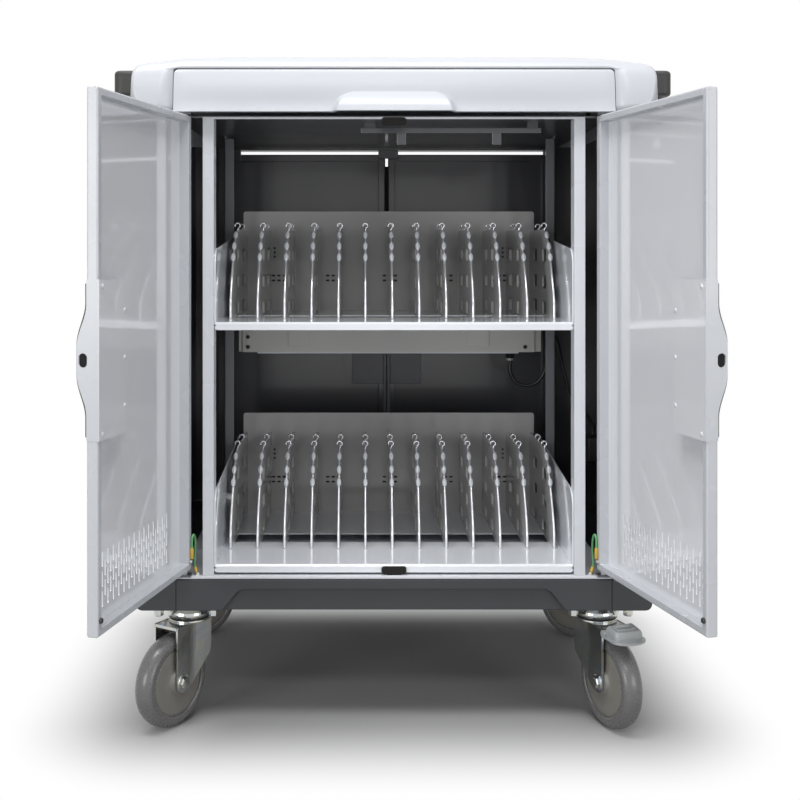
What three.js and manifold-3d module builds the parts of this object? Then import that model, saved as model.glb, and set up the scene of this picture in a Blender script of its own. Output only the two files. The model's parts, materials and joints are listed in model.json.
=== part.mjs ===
// Laptop charging cart: a sheet steel cabinet on swivel casters, with two racks of twelve bays.
// Millimetres, +Z up. While it is put together, y = 0 is just behind the closed front doors and
// +y runs to the back. The last lines move the origin to the middle of the footprint.
import * as THREE from 'three';
import { mergeVertices } from 'three/addons/utils/BufferGeometryUtils.js';
import Module from 'manifold-3d';

// Driving dimensions
const SHEET = 2;
const GAP = 0.3;

const BODY_HALF = 351;
const COLUMN_INNER = 297;
const FRONT = -14;
const BACK = 502;
const BASE_FRONT = -1;
const BASE_BOTTOM = 164;
const BASE_TOP = 207;
const FLOOR_TOP = 212;
const CEILING = 833.5;
const HOOD_BOTTOM = 840;
const HOOD_TOP = 918;
const HOOD_HALF = 358;
const HOOD_BACK = 504;

const POST_INNER = 245;
const POST_OUTER = 260;
const MID_POST_Y = 203;

const FLAP_HALF = 297.5;
const FLAP_TOP = 898.5;

const DOOR_PIVOT_X = 283;
const DOOR_THICKNESS = 14;
const DOOR_BOTTOM = 221;
const DOOR_TOP = 836;
const REAR_DOOR_TOP = 825.5;
const DOOR_EDGE = 7;
const DOOR_REACH = 281;
const LOCK_NOTCH = 2.5;
const LEFT_DOOR_OPEN = 102.5;
const RIGHT_DOOR_OPEN = 103.3;
const LOCK_CENTRE = 530;
const LOCK_HALF = 90;

const TRAY_HALF = 244.7;
const TRAY_FRONT = 4;
const TRAY_BACK = 324;
const TRAY_FLOORS = { lower: 226, upper: 556 };
const BACK_PANEL_HEIGHT = 160;
const DIVIDER_COUNT = 13;
const DIVIDER_PITCH = 38.7;
const DIVIDER_SHEET = 3;
const WELDED_EVERY = 6;

const WHEEL_RADIUS = 62.5;
const WHEEL_SIDES = 20;
const TRAIL = 38;
const CASTERS = [
  { name: 'front_left', x: -286, y: 55, heading: 237.5, brake: false },
  { name: 'front_right', x: 286, y: 55, heading: 290, brake: true },
  { name: 'rear_left', x: -286, y: 420, heading: 216, brake: true },
  { name: 'rear_right', x: 286, y: 420, heading: 315, brake: false },
];

// Finishes: colour, roughness, metalness
const WHITE_POWDER_COAT = [0xe8ebf0, 0.35, 0];
const TRAY_POWDER_COAT = [0xd9dce2, 0.4, 0];
const CHARCOAL_POWDER_COAT = [0x46494e, 0.5, 0];
const DARK_POWDER_COAT = [0x38383b, 0.45, 0];
const GREY_POWDER_COAT = [0xb9bcc0, 0.45, 0];
const HANDLE_PLASTIC = [0x50524e, 0.55, 0];
const BLACK_PLASTIC = [0x2e2a28, 0.5, 0];
const BLACK_PVC = [0x1c1c1e, 0.5, 0];
const ZINC_PLATE = [0xb4babc, 0.3, 1];
const TYRE_URETHANE = [0x6e6c70, 0.45, 0];
const PEDAL_PAINT = [0xb4b8bc, 0.4, 0.2];

const wasm = await Module();
wasm.setup();

// A closed three.js geometry as a solid that can be joined and cut.
function solidOf(geometry) {
  const loose = geometry.index ? geometry.toNonIndexed() : geometry;
  loose.deleteAttribute('normal');
  loose.deleteAttribute('uv');
  const merged = mergeVertices(loose, 1e-4);
  const vertProperties = new Float32Array(merged.attributes.position.array);
  const triVerts = new Uint32Array(merged.index.array);
  return new wasm.Manifold(new wasm.Mesh({ numProp: 3, vertProperties, triVerts }));
}

// The surface of a finished solid, as a three.js geometry.
function geometryOf(solid) {
  const surface = solid.getMesh();
  const geometry = new THREE.BufferGeometry();
  geometry.setAttribute('position', new THREE.BufferAttribute(surface.vertProperties, 3));
  geometry.setIndex(new THREE.BufferAttribute(surface.triVerts, 1));
  geometry.computeVertexNormals();
  return geometry;
}

function joined(solids) {
  return solids.reduce((whole, solid) => whole.add(solid));
}

function cut(solid, tools) {
  return tools.reduce((rest, tool) => rest.subtract(tool), solid);
}

// A block between two corners, given in either order.
function block(xa, xb, ya, yb, za, zb) {
  const geometry = new THREE.BoxGeometry(Math.abs(xb - xa), Math.abs(yb - ya), Math.abs(zb - za));
  geometry.translate((xa + xb) / 2, (ya + yb) / 2, (za + zb) / 2);
  return solidOf(geometry);
}

// Prisms of a flat outline: along z from (x, y), along y from (x, z), along x from (y, z).
function extruded(shape, depth, curveSegments) {
  return new THREE.ExtrudeGeometry(shape, { depth, curveSegments, bevelEnabled: false });
}

function prismZ(shape, z0, z1, curveSegments = 2) {
  const geometry = extruded(shape, z1 - z0, curveSegments);
  geometry.translate(0, 0, z0);
  return solidOf(geometry);
}

function prismY(shape, y0, y1, curveSegments = 2) {
  const geometry = extruded(shape, y1 - y0, curveSegments);
  geometry.rotateX(Math.PI / 2);
  geometry.translate(0, y1, 0);
  return solidOf(geometry);
}

const YZ_TO_WORLD = new THREE.Matrix4().set(0, 0, 1, 0, 1, 0, 0, 0, 0, 1, 0, 0, 0, 0, 0, 1);

function prismX(shape, xa, xb, curveSegments = 2) {
  const geometry = extruded(shape, Math.abs(xb - xa), curveSegments);
  geometry.applyMatrix4(YZ_TO_WORLD);
  geometry.translate(Math.min(xa, xb), 0, 0);
  return solidOf(geometry);
}

// A straight-sided outline, always run anticlockwise.
function polygon(points) {
  const ring = points.map(([u, v]) => new THREE.Vector2(u, v));
  return new THREE.Shape(THREE.ShapeUtils.area(ring) < 0 ? ring.reverse() : ring);
}

// A rectangle with its own radius at each corner: lower left, lower right, upper right, upper left.
function rounded(u0, u1, v0, v1, [ll, lr, ur, ul]) {
  const shape = new THREE.Shape();
  shape.moveTo(u0 + ll, v0);
  shape.lineTo(u1 - lr, v0);
  if (lr > 0) shape.absarc(u1 - lr, v0 + lr, lr, -Math.PI / 2, 0);
  shape.lineTo(u1, v1 - ur);
  if (ur > 0) shape.absarc(u1 - ur, v1 - ur, ur, 0, Math.PI / 2);
  shape.lineTo(u0 + ul, v1);
  if (ul > 0) shape.absarc(u0 + ul, v1 - ul, ul, Math.PI / 2, Math.PI);
  shape.lineTo(u0, v0 + ll);
  if (ll > 0) shape.absarc(u0 + ll, v0 + ll, ll, Math.PI, Math.PI * 1.5);
  return shape;
}

// A disc or ring about a vertical axis, from a profile of (radius, z) that starts and ends on it.
function turned(profile, x, y, sides) {
  const points = profile.map(([radius, z]) => new THREE.Vector2(radius, z));
  const geometry = new THREE.LatheGeometry(points, sides);
  geometry.rotateX(Math.PI / 2);
  geometry.translate(x, y, 0);
  return solidOf(geometry);
}

function cylinderZ(radius, x, y, z0, z1, sides) {
  return turned([[0, z0], [radius, z0], [radius, z1], [0, z1]], x, y, sides);
}

// A round bar along y.
function cylinderY(radius, x, z, y0, y1, sides) {
  const geometry = new THREE.CylinderGeometry(radius, radius, y1 - y0, sides);
  geometry.translate(x, (y0 + y1) / 2, z);
  return solidOf(geometry);
}

const cart = new THREE.Group();

function addPiece(parent, name, solid, [color, roughness, metalness]) {
  const material = new THREE.MeshStandardMaterial({ color, roughness, metalness });
  const mesh = new THREE.Mesh(geometryOf(solid), material);
  mesh.name = name;
  parent.add(mesh);
}

function radians(degrees) {
  return THREE.MathUtils.degToRad(degrees);
}

// Base plinth: an inverted steel pan, boxed in at both ends to carry the casters, with a
// trapezoid recess in the middle of its front.
function basePlinth() {
  const wall = 3;
  const recessDepth = 25;
  const behindRecess = BASE_FRONT + recessDepth + wall;
  const outer = prismY(rounded(-BODY_HALF, BODY_HALF, BASE_BOTTOM, BASE_TOP, [9, 9, 0, 0]), BASE_FRONT, BACK);
  const recess = polygon([[-236, BASE_BOTTOM - 3], [236, BASE_BOTTOM - 3], [213, 189], [206, 193],
    [-206, 193], [-213, 189]]);
  const boxed = block(-BODY_HALF + wall, BODY_HALF - wall, behindRecess, BACK - wall,
    BASE_BOTTOM + wall, BASE_TOP - wall);
  const openBelow = block(-210, 210, behindRecess, BACK - wall, BASE_BOTTOM - 1, BASE_BOTTOM + wall + 1);
  return cut(outer, [prismY(recess, BASE_FRONT - 1, BASE_FRONT + recessDepth), boxed, openBelow]);
}

// Floor panel: a folded white sheet on the plinth, between the corner columns.
function floorPanel() {
  const edge = COLUMN_INNER - GAP;
  return block(-edge, edge, BASE_FRONT, BACK - 16, BASE_TOP + GAP, FLOOR_TOP);
}

// Side panel: one folded sheet that makes the side wall and both corner columns, with the pivot
// brackets of the front and rear doors welded to the columns.
function sidePanel(side) {
  const wall = 3;
  const returnDepth = 32;
  const corner = 10;
  const inside = corner - wall;
  const innerX = BODY_HALF - wall;
  const section = new THREE.Shape();
  section.moveTo(COLUMN_INNER, FRONT);
  section.lineTo(BODY_HALF - corner, FRONT);
  section.absarc(BODY_HALF - corner, FRONT + corner, corner, -Math.PI / 2, 0);
  section.lineTo(BODY_HALF, BACK - corner);
  section.absarc(BODY_HALF - corner, BACK - corner, corner, 0, Math.PI / 2);
  section.lineTo(COLUMN_INNER, BACK);
  section.lineTo(COLUMN_INNER, BACK - returnDepth);
  section.lineTo(COLUMN_INNER + wall, BACK - returnDepth);
  section.lineTo(COLUMN_INNER + wall, BACK - wall);
  section.lineTo(innerX - inside, BACK - wall);
  section.lineTo(innerX, BACK - corner);
  section.lineTo(innerX, FRONT + corner);
  section.lineTo(innerX - inside, FRONT + wall);
  section.lineTo(COLUMN_INNER + wall, FRONT + wall);
  section.lineTo(COLUMN_INNER + wall, FRONT + returnDepth);
  section.lineTo(COLUMN_INNER, FRONT + returnDepth);
  const mirrored = polygon(section.getPoints(2).map((point) => [side * point.x, point.y]));
  const pieces = [prismZ(mirrored, BASE_TOP + GAP, HOOD_BOTTOM - GAP)];
  const holes = [];
  for (const [y0, y1] of [[FRONT, 0], [BACK - DOOR_THICKNESS, BACK]]) {
    for (const z0 of [213, DOOR_TOP + 0.6]) {
      pieces.push(block(side * (DOOR_PIVOT_X - 9), side * (COLUMN_INNER + 1), y0, y1, z0, z0 + 2.8));
      holes.push(cylinderZ(4.2, side * DOOR_PIVOT_X, (y0 + y1) / 2, z0 - 1, z0 + 4, 8));
    }
  }
  return cut(joined(pieces), holes);
}

// Front frame: two white angle posts and the strip across the top, behind the front doors.
function frontFrame() {
  const face = 1.7;
  const y0 = 0.5;
  const pieces = [block(-POST_OUTER, POST_OUTER, y0, y0 + face, CEILING - 1.5, CEILING + 1.5)];
  for (const side of [-1, 1]) {
    const z0 = FLOOR_TOP + GAP;
    pieces.push(block(side * POST_INNER, side * POST_OUTER, y0, y0 + face, z0, CEILING));
    pieces.push(block(side * POST_INNER, side * (POST_INNER + face), y0, 26, z0, CEILING - GAP));
  }
  return joined(pieces);
}

// Inner frame: the dark ceiling plate, the mid posts that hang the racks, and the latch bar, which
// hangs from the ceiling on two brackets and has two guides below it.
function innerFrame() {
  const edge = COLUMN_INNER - GAP;
  const pieces = [block(-edge, edge, 2.5, BACK - 20, CEILING, CEILING + 3)];
  for (const side of [-1, 1]) {
    const z0 = FLOOR_TOP + GAP;
    pieces.push(block(side * POST_INNER, side * POST_OUTER, MID_POST_Y, MID_POST_Y + SHEET, z0, CEILING - 7));
    pieces.push(block(side * (POST_OUTER - SHEET), side * POST_OUTER, MID_POST_Y, MID_POST_Y + 26, z0,
      CEILING + 1));
  }
  const barBottom = CEILING - 14.5;
  pieces.push(block(-45, 209, 58, 66, barBottom, CEILING - 7));
  for (const x of [-40, 190]) {
    pieces.push(block(x, x + 15, 59, 65, barBottom + 1, CEILING + 1));
  }
  for (const x of [5.5, 140]) {
    pieces.push(block(x, x + 13, 59, 65, CEILING - 31, barBottom + 1));
  }
  return joined(pieces);
}

// Outline of the hood seen from the front, drawn in by an inset.
function hoodFrontView(inset) {
  const half = HOOD_HALF - inset;
  const top = HOOD_TOP - inset;
  const bottom = inset > 0 ? HOOD_BOTTOM - 5 : HOOD_BOTTOM;
  const shape = new THREE.Shape();
  shape.moveTo(-half, bottom);
  shape.lineTo(half, bottom);
  shape.lineTo(half - 3, top - 25);
  shape.quadraticCurveTo(half - 4, top - 12, half - 22, top - 10);
  shape.quadraticCurveTo(half - 90, top, 190, top);
  shape.lineTo(-190, top);
  shape.quadraticCurveTo(-half + 90, top, -half + 22, top - 10);
  shape.quadraticCurveTo(-half + 4, top - 12, -half + 3, top - 25);
  return shape;
}

// Outline of the hood seen from the side: the front swells out and leans back to the top.
function hoodSideView(inset) {
  const front = FRONT + inset;
  const back = HOOD_BACK - inset;
  const top = HOOD_TOP - inset;
  const bottom = inset > 0 ? HOOD_BOTTOM - 5 : HOOD_BOTTOM;
  const shape = new THREE.Shape();
  shape.moveTo(front, bottom);
  shape.lineTo(front, HOOD_BOTTOM + 12);
  shape.quadraticCurveTo(front, top - 32, front + 12, top - 12);
  shape.quadraticCurveTo(front + 16, top, front + 32, top);
  shape.lineTo(back - 22, top);
  shape.quadraticCurveTo(back - 4, top, back, top - 24);
  shape.lineTo(back, bottom);
  return shape;
}

function hoodForm(inset) {
  const wide = HOOD_HALF + 10;
  const lengthwise = prismY(hoodFrontView(inset), FRONT - 10, HOOD_BACK + 10, 4);
  return lengthwise.intersect(prismX(hoodSideView(inset), -wide, wide, 4));
}

// Outline of the flap and of its opening, with the upper corners rounded.
function flapOutline(grow, bottom, corner) {
  return rounded(-FLAP_HALF - grow, FLAP_HALF + grow, bottom, FLAP_TOP + 4 * grow, [0, 0, corner, corner]);
}

// Hood shell: a moulded white lid, open below, with the flap opening in its front.
function hoodShell() {
  const opening = prismY(flapOutline(0.5, HOOD_BOTTOM - 10, 6), FRONT - 10, 40);
  return cut(hoodForm(0), [hoodForm(4), opening]);
}

// Front flap of the hood: its skin follows the hood front, and a pull lip stands out below.
function hoodFlap() {
  const bottom = HOOD_BOTTOM + 0.5;
  const skin = hoodForm(0).subtract(hoodForm(4));
  const slab = prismY(flapOutline(0, bottom, 10), FRONT - 5, 22);
  const lipSide = polygon([[FRONT + 2, bottom], [FRONT - 14, bottom], [FRONT - 16, bottom + 4],
    [FRONT - 13, bottom + 16], [FRONT + 2, bottom + 27]]);
  const lipFront = polygon([[-78, bottom], [78, bottom], [72, bottom + 15], [58, bottom + 27],
    [-58, bottom + 27], [-72, bottom + 15]]);
  const lip = prismX(lipSide, -80, 80).intersect(prismY(lipFront, FRONT - 20, FRONT + 5));
  return joined([skin.intersect(slab), lip]);
}

// Push handle: a bowed plastic grip along the side of the hood, with room for the fingers.
function pushHandle(side) {
  const bar = 13;
  const reach = 395;
  const y0 = 60;
  const y1 = 440;
  const inner = HOOD_HALF - 8;
  const grip = new THREE.Shape();
  grip.moveTo(side * inner, y0);
  grip.lineTo(side * (reach - 20), y0);
  grip.quadraticCurveTo(side * reach, y0, side * reach, y0 + 26);
  grip.lineTo(side * reach, y1 - 26);
  grip.quadraticCurveTo(side * reach, y1, side * (reach - 20), y1);
  grip.lineTo(side * inner, y1);
  const finger = new THREE.Shape();
  const palm = reach - bar;
  finger.moveTo(side * (inner - 5), y0 + bar);
  finger.lineTo(side * (palm - 12), y0 + bar);
  finger.quadraticCurveTo(side * palm, y0 + bar, side * palm, y0 + bar + 16);
  finger.lineTo(side * palm, y1 - bar - 16);
  finger.quadraticCurveTo(side * palm, y1 - bar, side * (palm - 12), y1 - bar);
  finger.lineTo(side * (inner - 5), y1 - bar);
  const crown = rounded(HOOD_HALF - 20, reach, 872, 908, [4, 8, 12, 4]);
  const section = polygon(crown.getPoints(2).map((point) => [side * point.x, point.y]));
  const seat = prismY(hoodFrontView(-GAP), FRONT - 10, HOOD_BACK + 10, 4);
  const whole = prismZ(grip, 872, 908, 4).intersect(prismY(section, y0 - 5, y1 + 5));
  return cut(whole, [prismZ(finger, 860, 920, 4), seat]);
}

// Front edge of a divider, from its foot up to its shoulder, in (y, height over the tray floor).
const DIVIDER_EDGE = new THREE.SplineCurve([
  new THREE.Vector2(87.5, 0),
  new THREE.Vector2(88.5, 22),
  new THREE.Vector2(100, 47),
  new THREE.Vector2(118, 75),
  new THREE.Vector2(138, 103),
  new THREE.Vector2(156, 119),
  new THREE.Vector2(186, 130),
]);
const DIVIDER_TOP = 130;
const TAB_STATIONS = [0.545, 0.676, 0.807];
const PLAIN_STATIONS = [0, 0.13, 0.29, 0.42, 0.92, 1];

// Divider outline with its cable tabs, which are bent aside in turn, and its six windows.
function divider(floorTop, x, direction) {
  const tabHalf = 7.4;
  const tabReach = 6.5;
  const bend = 3;
  const tips = [];
  const points = [];
  for (const station of [...TAB_STATIONS, ...PLAIN_STATIONS].sort((a, b) => a - b)) {
    const foot = DIVIDER_EDGE.getPointAt(station);
    const along = DIVIDER_EDGE.getTangentAt(station);
    const outward = new THREE.Vector2(-along.y, along.x);
    if (PLAIN_STATIONS.includes(station)) {
      points.push(foot);
      continue;
    }
    const turn = direction * (TAB_STATIONS.indexOf(station) % 2 ? -1 : 1);
    const before = foot.clone().addScaledVector(along, -tabHalf);
    const after = foot.clone().addScaledVector(along, tabHalf);
    const low = before.clone().addScaledVector(outward, tabReach);
    const high = after.clone().addScaledVector(outward, tabReach);
    points.push(before, low, high, after);
    tips.push({ at: low, turn }, { at: high, turn });
  }
  points.push(new THREE.Vector2(TRAY_BACK - GAP, DIVIDER_TOP), new THREE.Vector2(TRAY_BACK - GAP, 0));
  const geometry = extruded(new THREE.Shape(points), DIVIDER_SHEET, 1);
  const position = geometry.attributes.position;
  for (let index = 0; index < position.count; index += 1) {
    const tip = tips.find(({ at }) => Math.hypot(at.x - position.getX(index), at.y - position.getY(index)) < 0.01);
    if (tip) position.setZ(index, position.getZ(index) + tip.turn * bend);
  }
  geometry.applyMatrix4(YZ_TO_WORLD);
  geometry.translate(x - DIVIDER_SHEET / 2, 0, floorTop + GAP);
  const windows = [];
  for (const row of [91, 51, 12]) {
    for (const middle of [171, 262]) {
      const z = floorTop + row;
      windows.push(block(x - SHEET, x + SHEET, middle - 18, middle + 18, z - 9.4, z + 9.4));
    }
  }
  return cut(solidOf(geometry), windows);
}

// Tray: a folded sheet with a front lip, raked side walls, a back panel and cable windows in the
// floor. Every sixth divider is welded to it.
function tray(floorTop) {
  const floor = block(-TRAY_HALF, TRAY_HALF, TRAY_FRONT, TRAY_BACK + SHEET, floorTop - SHEET, floorTop);
  const lip = prismY(rounded(-TRAY_HALF, TRAY_HALF, floorTop - 11, floorTop, [5, 5, 0, 0]), TRAY_FRONT,
    TRAY_FRONT + SHEET);
  const back = prismY(rounded(-TRAY_HALF, TRAY_HALF, floorTop - SHEET, floorTop + BACK_PANEL_HEIGHT,
    [0, 0, 8, 8]), TRAY_BACK, TRAY_BACK + SHEET);
  const wallShape = new THREE.Shape();
  wallShape.moveTo(TRAY_FRONT, floorTop - SHEET);
  wallShape.lineTo(TRAY_BACK + SHEET, floorTop - SHEET);
  wallShape.lineTo(TRAY_BACK + SHEET, floorTop + 127);
  wallShape.lineTo(TRAY_FRONT + 24, floorTop + 101);
  wallShape.quadraticCurveTo(TRAY_FRONT, floorTop + 98, TRAY_FRONT, floorTop + 76);
  const walls = [-1, 1].map((side) => prismX(wallShape, side * TRAY_HALF, side * (TRAY_HALF - SHEET)));
  const windows = [];
  for (let bay = 0; bay < DIVIDER_COUNT - 1; bay += 1) {
    const middle = (bay + 0.5 - (DIVIDER_COUNT - 1) / 2) * DIVIDER_PITCH;
    windows.push(block(middle - 14, middle + 14, 126, 172, floorTop - 5, floorTop + 5));
  }
  return cut(joined([floor, lip, back, ...walls]), windows);
}

function addRack(name, floorTop) {
  let shell = tray(floorTop);
  let loose = 0;
  for (let index = 0; index < DIVIDER_COUNT; index += 1) {
    const x = (index - (DIVIDER_COUNT - 1) / 2) * DIVIDER_PITCH;
    if (index % WELDED_EVERY === 0) {
      const half = DIVIDER_SHEET / 2;
      const foot = block(x - half, x + half, 180, TRAY_BACK + 1, floorTop - 1, floorTop + 3);
      shell = joined([shell, divider(floorTop, x, 1), foot]);
      continue;
    }
    loose += 1;
    const label = String(loose).padStart(2, '0');
    addPiece(cart, `${name}_divider_${label}`, divider(floorTop, x, 1), TRAY_POWDER_COAT);
  }
  addPiece(cart, `${name}_tray`, shell, TRAY_POWDER_COAT);
}

// Power strip: a folded box hung from the back of the upper tray, with a row of socket faces
// on its rear and a gland for its lead underneath.
const STRIP = { half: 240, y0: 329, y1: 374, z0: 487, z1: 533 };
const GLAND = { x: 202, y: 350, length: 20 };
const SOCKETS = 8;
const SOCKET_PITCH = 54;

function powerStrip() {
  const pieces = [block(-STRIP.half, STRIP.half, STRIP.y0, STRIP.y1, STRIP.z0, STRIP.z1)];
  for (const side of [-1, 1]) {
    pieces.push(block(side * 130, side * 165, TRAY_BACK + SHEET + GAP, STRIP.y0 + 1, STRIP.z0 + 10, 610));
  }
  const gland = [[0, STRIP.z0 - GLAND.length], [5, STRIP.z0 - GLAND.length], [8, STRIP.z0 + 1], [0, STRIP.z0 + 1]];
  pieces.push(turned(gland, GLAND.x, GLAND.y, 10));
  for (let index = 0; index < SOCKETS; index += 1) {
    const x = (index - (SOCKETS - 1) / 2) * SOCKET_PITCH;
    pieces.push(block(x - 18, x + 18, STRIP.y1 - 1, STRIP.y1 + 2, STRIP.z0 + 8, STRIP.z1 - 8));
  }
  return joined(pieces);
}

// Inlet box on the right side wall, where the lead of the power strip ends.
const INLET = { x0: 318, x1: 347.7, y0: 284, y1: 326, z0: 314, z1: 353 };

function inletBox() {
  const section = rounded(INLET.x0, INLET.x1, INLET.y0, INLET.y1, [4, 0, 0, 4]);
  return prismZ(section, INLET.z0, INLET.z1);
}

// Lead from the strip to the inlet box: it drops, turns up beside the mid post and hangs in a loop.
const LEAD_RADIUS = 3;
const LEAD_ROUTE = [
  [202, 350, 466.7], [203, 350, 452], [211, 350, 437], [226, 350, 430], [243, 349, 433], [255, 347, 445],
  [261, 344, 463], [264, 340, 483], [266, 332, 502], [268, 318, 514], [270, 302, 514], [272, 289, 502],
  [275, 282, 482], [280, 280, 458], [287, 281, 434], [297, 286, 414], [310, 294, 399], [322, 300, 385],
  [330, 304, 370], [331, 305, 353.6],
];

function powerLead() {
  const path = new THREE.CatmullRomCurve3(LEAD_ROUTE.map((point) => new THREE.Vector3(...point)));
  const section = new THREE.Shape();
  section.absarc(0, 0, LEAD_RADIUS, 0, 2 * Math.PI);
  const geometry = new THREE.ExtrudeGeometry(section, { steps: 20, curveSegments: 4, extrudePath: path });
  return solidOf(geometry);
}

// Latch strikes: black blocks with round ends that the door latches close on.
function latchStrike(bottom, top, footBottom, footTop) {
  const pad = prismY(rounded(-17, 17, bottom, top, [4, 4, 4, 4]), 0.4, TRAY_FRONT - GAP);
  return joined([pad, block(-10, 10, 0.4, TRAY_FRONT - GAP, footBottom, footTop)]);
}

// Door pan about its pivot; inward is the direction to the free edge, and top is its height.
function doorPan(inward, outerSide, top) {
  const wall = 1.8;
  const lip = 12;
  const half = DOOR_THICKNESS / 2;
  const u0 = inward * -DOOR_EDGE;
  const u1 = inward * DOOR_REACH;
  const plan = rounded(Math.min(u0, u1), Math.max(u0, u1), -half, half, [3, 3, 3, 3]);
  const body = prismZ(plan, DOOR_BOTTOM, top, 1);
  const hollow = block(u0 + inward * wall, u1 - inward * wall, wall - half, half - wall, DOOR_BOTTOM + wall,
    top - wall);
  const window = block(u0 + inward * lip, u1 - inward * lip, 0, outerSide * -(half + 1), DOOR_BOTTOM + lip,
    top - lip);
  const pins = [cylinderZ(3.5, 0, 0, 213.2, DOOR_BOTTOM + 1, 8), cylinderZ(3.5, 0, 0, top - 1, 839.2, 8)];
  return joined([cut(body, [hollow, window]), ...pins]);
}

// Vent slots low in the front door skin: columns of three slots and of two in turn.
function ventSlots(inward) {
  const columns = 28;
  const columnPitch = 7.4;
  const rowPitch = 23;
  const length = 18.5;
  const slots = [];
  for (let column = 0; column < columns; column += 1) {
    const u = 50 + column * columnPitch;
    const rows = 3 - column % 2;
    for (let row = 0; row < rows; row += 1) {
      const z = 276 + (row - (rows - 1) / 2) * rowPitch - length / 2;
      slots.push(block(inward * (u - 1.4), inward * (u + 1.4), -8, -4, z, z + length));
    }
  }
  return slots;
}

// Edge of the lock bracket and the grip: a hump that rises from a door face and falls again.
function hump(shape, base, rise, start, ramp) {
  const z0 = LOCK_CENTRE - start;
  const z1 = LOCK_CENTRE + start;
  shape.lineTo(base, z1);
  shape.bezierCurveTo(base, z1 - ramp / 2, base - rise, z1 - ramp / 2, base - rise, z1 - ramp);
  shape.lineTo(base - rise, z0 + ramp);
  shape.bezierCurveTo(base - rise, z0 + ramp / 2, base, z0 + ramp / 2, base, z0);
}

// Lock bracket: an angle on the free edge of a door. Its end plate stands out of the door face
// with a padlock hole, and its inner plate lies on the inside of the door, lifted off by a gap.
function lockBracket(inward, outerSide, lift) {
  const half = DOOR_THICKNESS / 2;
  const inside = half + lift + 1.5;
  const end = new THREE.Shape();
  end.moveTo(inside, LOCK_CENTRE - LOCK_HALF);
  end.lineTo(inside, LOCK_CENTRE + LOCK_HALF);
  end.lineTo(-half, LOCK_CENTRE + LOCK_HALF);
  hump(end, -half, 11.5, 62, 46);
  end.lineTo(-half, LOCK_CENTRE - LOCK_HALF);
  const hole = rounded(-15.8, -6.8, LOCK_CENTRE - 7, LOCK_CENTRE + 7, [4, 4, 4, 4]);
  const turnedEnd = polygon(end.getPoints(5).map((point) => [-outerSide * point.x, point.y]));
  const turnedHole = polygon(hole.getPoints(1).map((point) => [-outerSide * point.x, point.y]));
  turnedEnd.holes.push(turnedHole);
  const edge = DOOR_REACH - LOCK_NOTCH + GAP;
  const plate = block(inward * (edge - 52), inward * (edge + 1), -outerSide * (half + lift), -outerSide * inside,
    LOCK_CENTRE - LOCK_HALF, LOCK_CENTRE + LOCK_HALF);
  return joined([prismX(turnedEnd, inward * edge, inward * DOOR_REACH), plate]);
}

// Handle trim: a dark bent strap with a foot at each end on the door face, and an arch that
// follows the hump of the lock bracket with room for the fingers under it.
function handleTrim(inward) {
  const face = -DOOR_THICKNESS / 2 - GAP;
  const foot = face - 2.2;
  const low = LOCK_CENTRE - 86;
  const high = LOCK_CENTRE + 86;
  const shape = new THREE.Shape();
  shape.moveTo(face, low);
  shape.lineTo(face, LOCK_CENTRE - 60);
  shape.bezierCurveTo(face, LOCK_CENTRE - 37, -17.8, LOCK_CENTRE - 37, -17.8, LOCK_CENTRE - 14);
  shape.lineTo(-17.8, LOCK_CENTRE + 14);
  shape.bezierCurveTo(-17.8, LOCK_CENTRE + 37, face, LOCK_CENTRE + 37, face, LOCK_CENTRE + 60);
  shape.lineTo(face, high);
  shape.lineTo(foot, high);
  hump(shape, foot, 10.8, 64, 46);
  shape.lineTo(foot, low);
  const edge = DOOR_REACH - LOCK_NOTCH;
  return prismX(shape, inward * (edge - 25), inward * edge, 5);
}

function addFrontDoor(name, side, openDegrees) {
  const inward = -side;
  const hinge = new THREE.Group();
  hinge.position.set(side * DOOR_PIVOT_X, FRONT / 2, 0);
  hinge.rotation.z = side * radians(openDegrees);
  const notch = block(inward * (DOOR_REACH - LOCK_NOTCH), inward * (DOOR_REACH + 1), -8, 8,
    LOCK_CENTRE - LOCK_HALF - GAP, LOCK_CENTRE + LOCK_HALF + GAP);
  const pan = cut(doorPan(inward, -1, DOOR_TOP), [notch, ...ventSlots(inward)]);
  addPiece(hinge, `${name}_door`, pan, WHITE_POWDER_COAT);
  addPiece(hinge, `${name}_lock_bracket`, lockBracket(inward, -1, GAP), WHITE_POWDER_COAT);
  addPiece(hinge, `${name}_handle_trim`, handleTrim(inward), HANDLE_PLASTIC);
  cart.add(hinge);
}

// Rear door: the same pan in dark paint, lower at the top, with its lock bracket welded on.
function addRearDoor(name, side) {
  const inward = -side;
  const hinge = new THREE.Group();
  hinge.position.set(side * DOOR_PIVOT_X, BACK - DOOR_THICKNESS / 2, 0);
  const whole = joined([doorPan(inward, 1, REAR_DOOR_TOP), lockBracket(inward, 1, -0.5)]);
  addPiece(hinge, `rear_door_${name}`, whole, DARK_POWDER_COAT);
  cart.add(hinge);
}

// Casters. In the frame of one caster, z = 0 is the floor, the swivel axis is the z axis and the
// wheel trails along +x.
const CROWN = { bottom: 134.5, top: 138.5 };
const FORK_INNER = 18.5;
const FORK_OUTER = 21.5;
const FORK_FLARE = 5.5;

function casterPlate() {
  const plate = prismZ(rounded(-52, 52, -42, 42, [8, 8, 8, 8]), 160, BASE_BOTTOM - GAP, 1);
  const race = turned([[0, 142.3], [27, 142.3], [32, 147.5], [31, 151], [26, 161], [0, 161]], 0, 0, 14);
  const bolts = [[-1, -1], [1, -1], [1, 1], [-1, 1]].map(([sx, sy]) => cylinderZ(7, 38 * sx, 29 * sy, 149, 161, 6));
  return joined([plate, race, ...bolts]);
}

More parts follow.
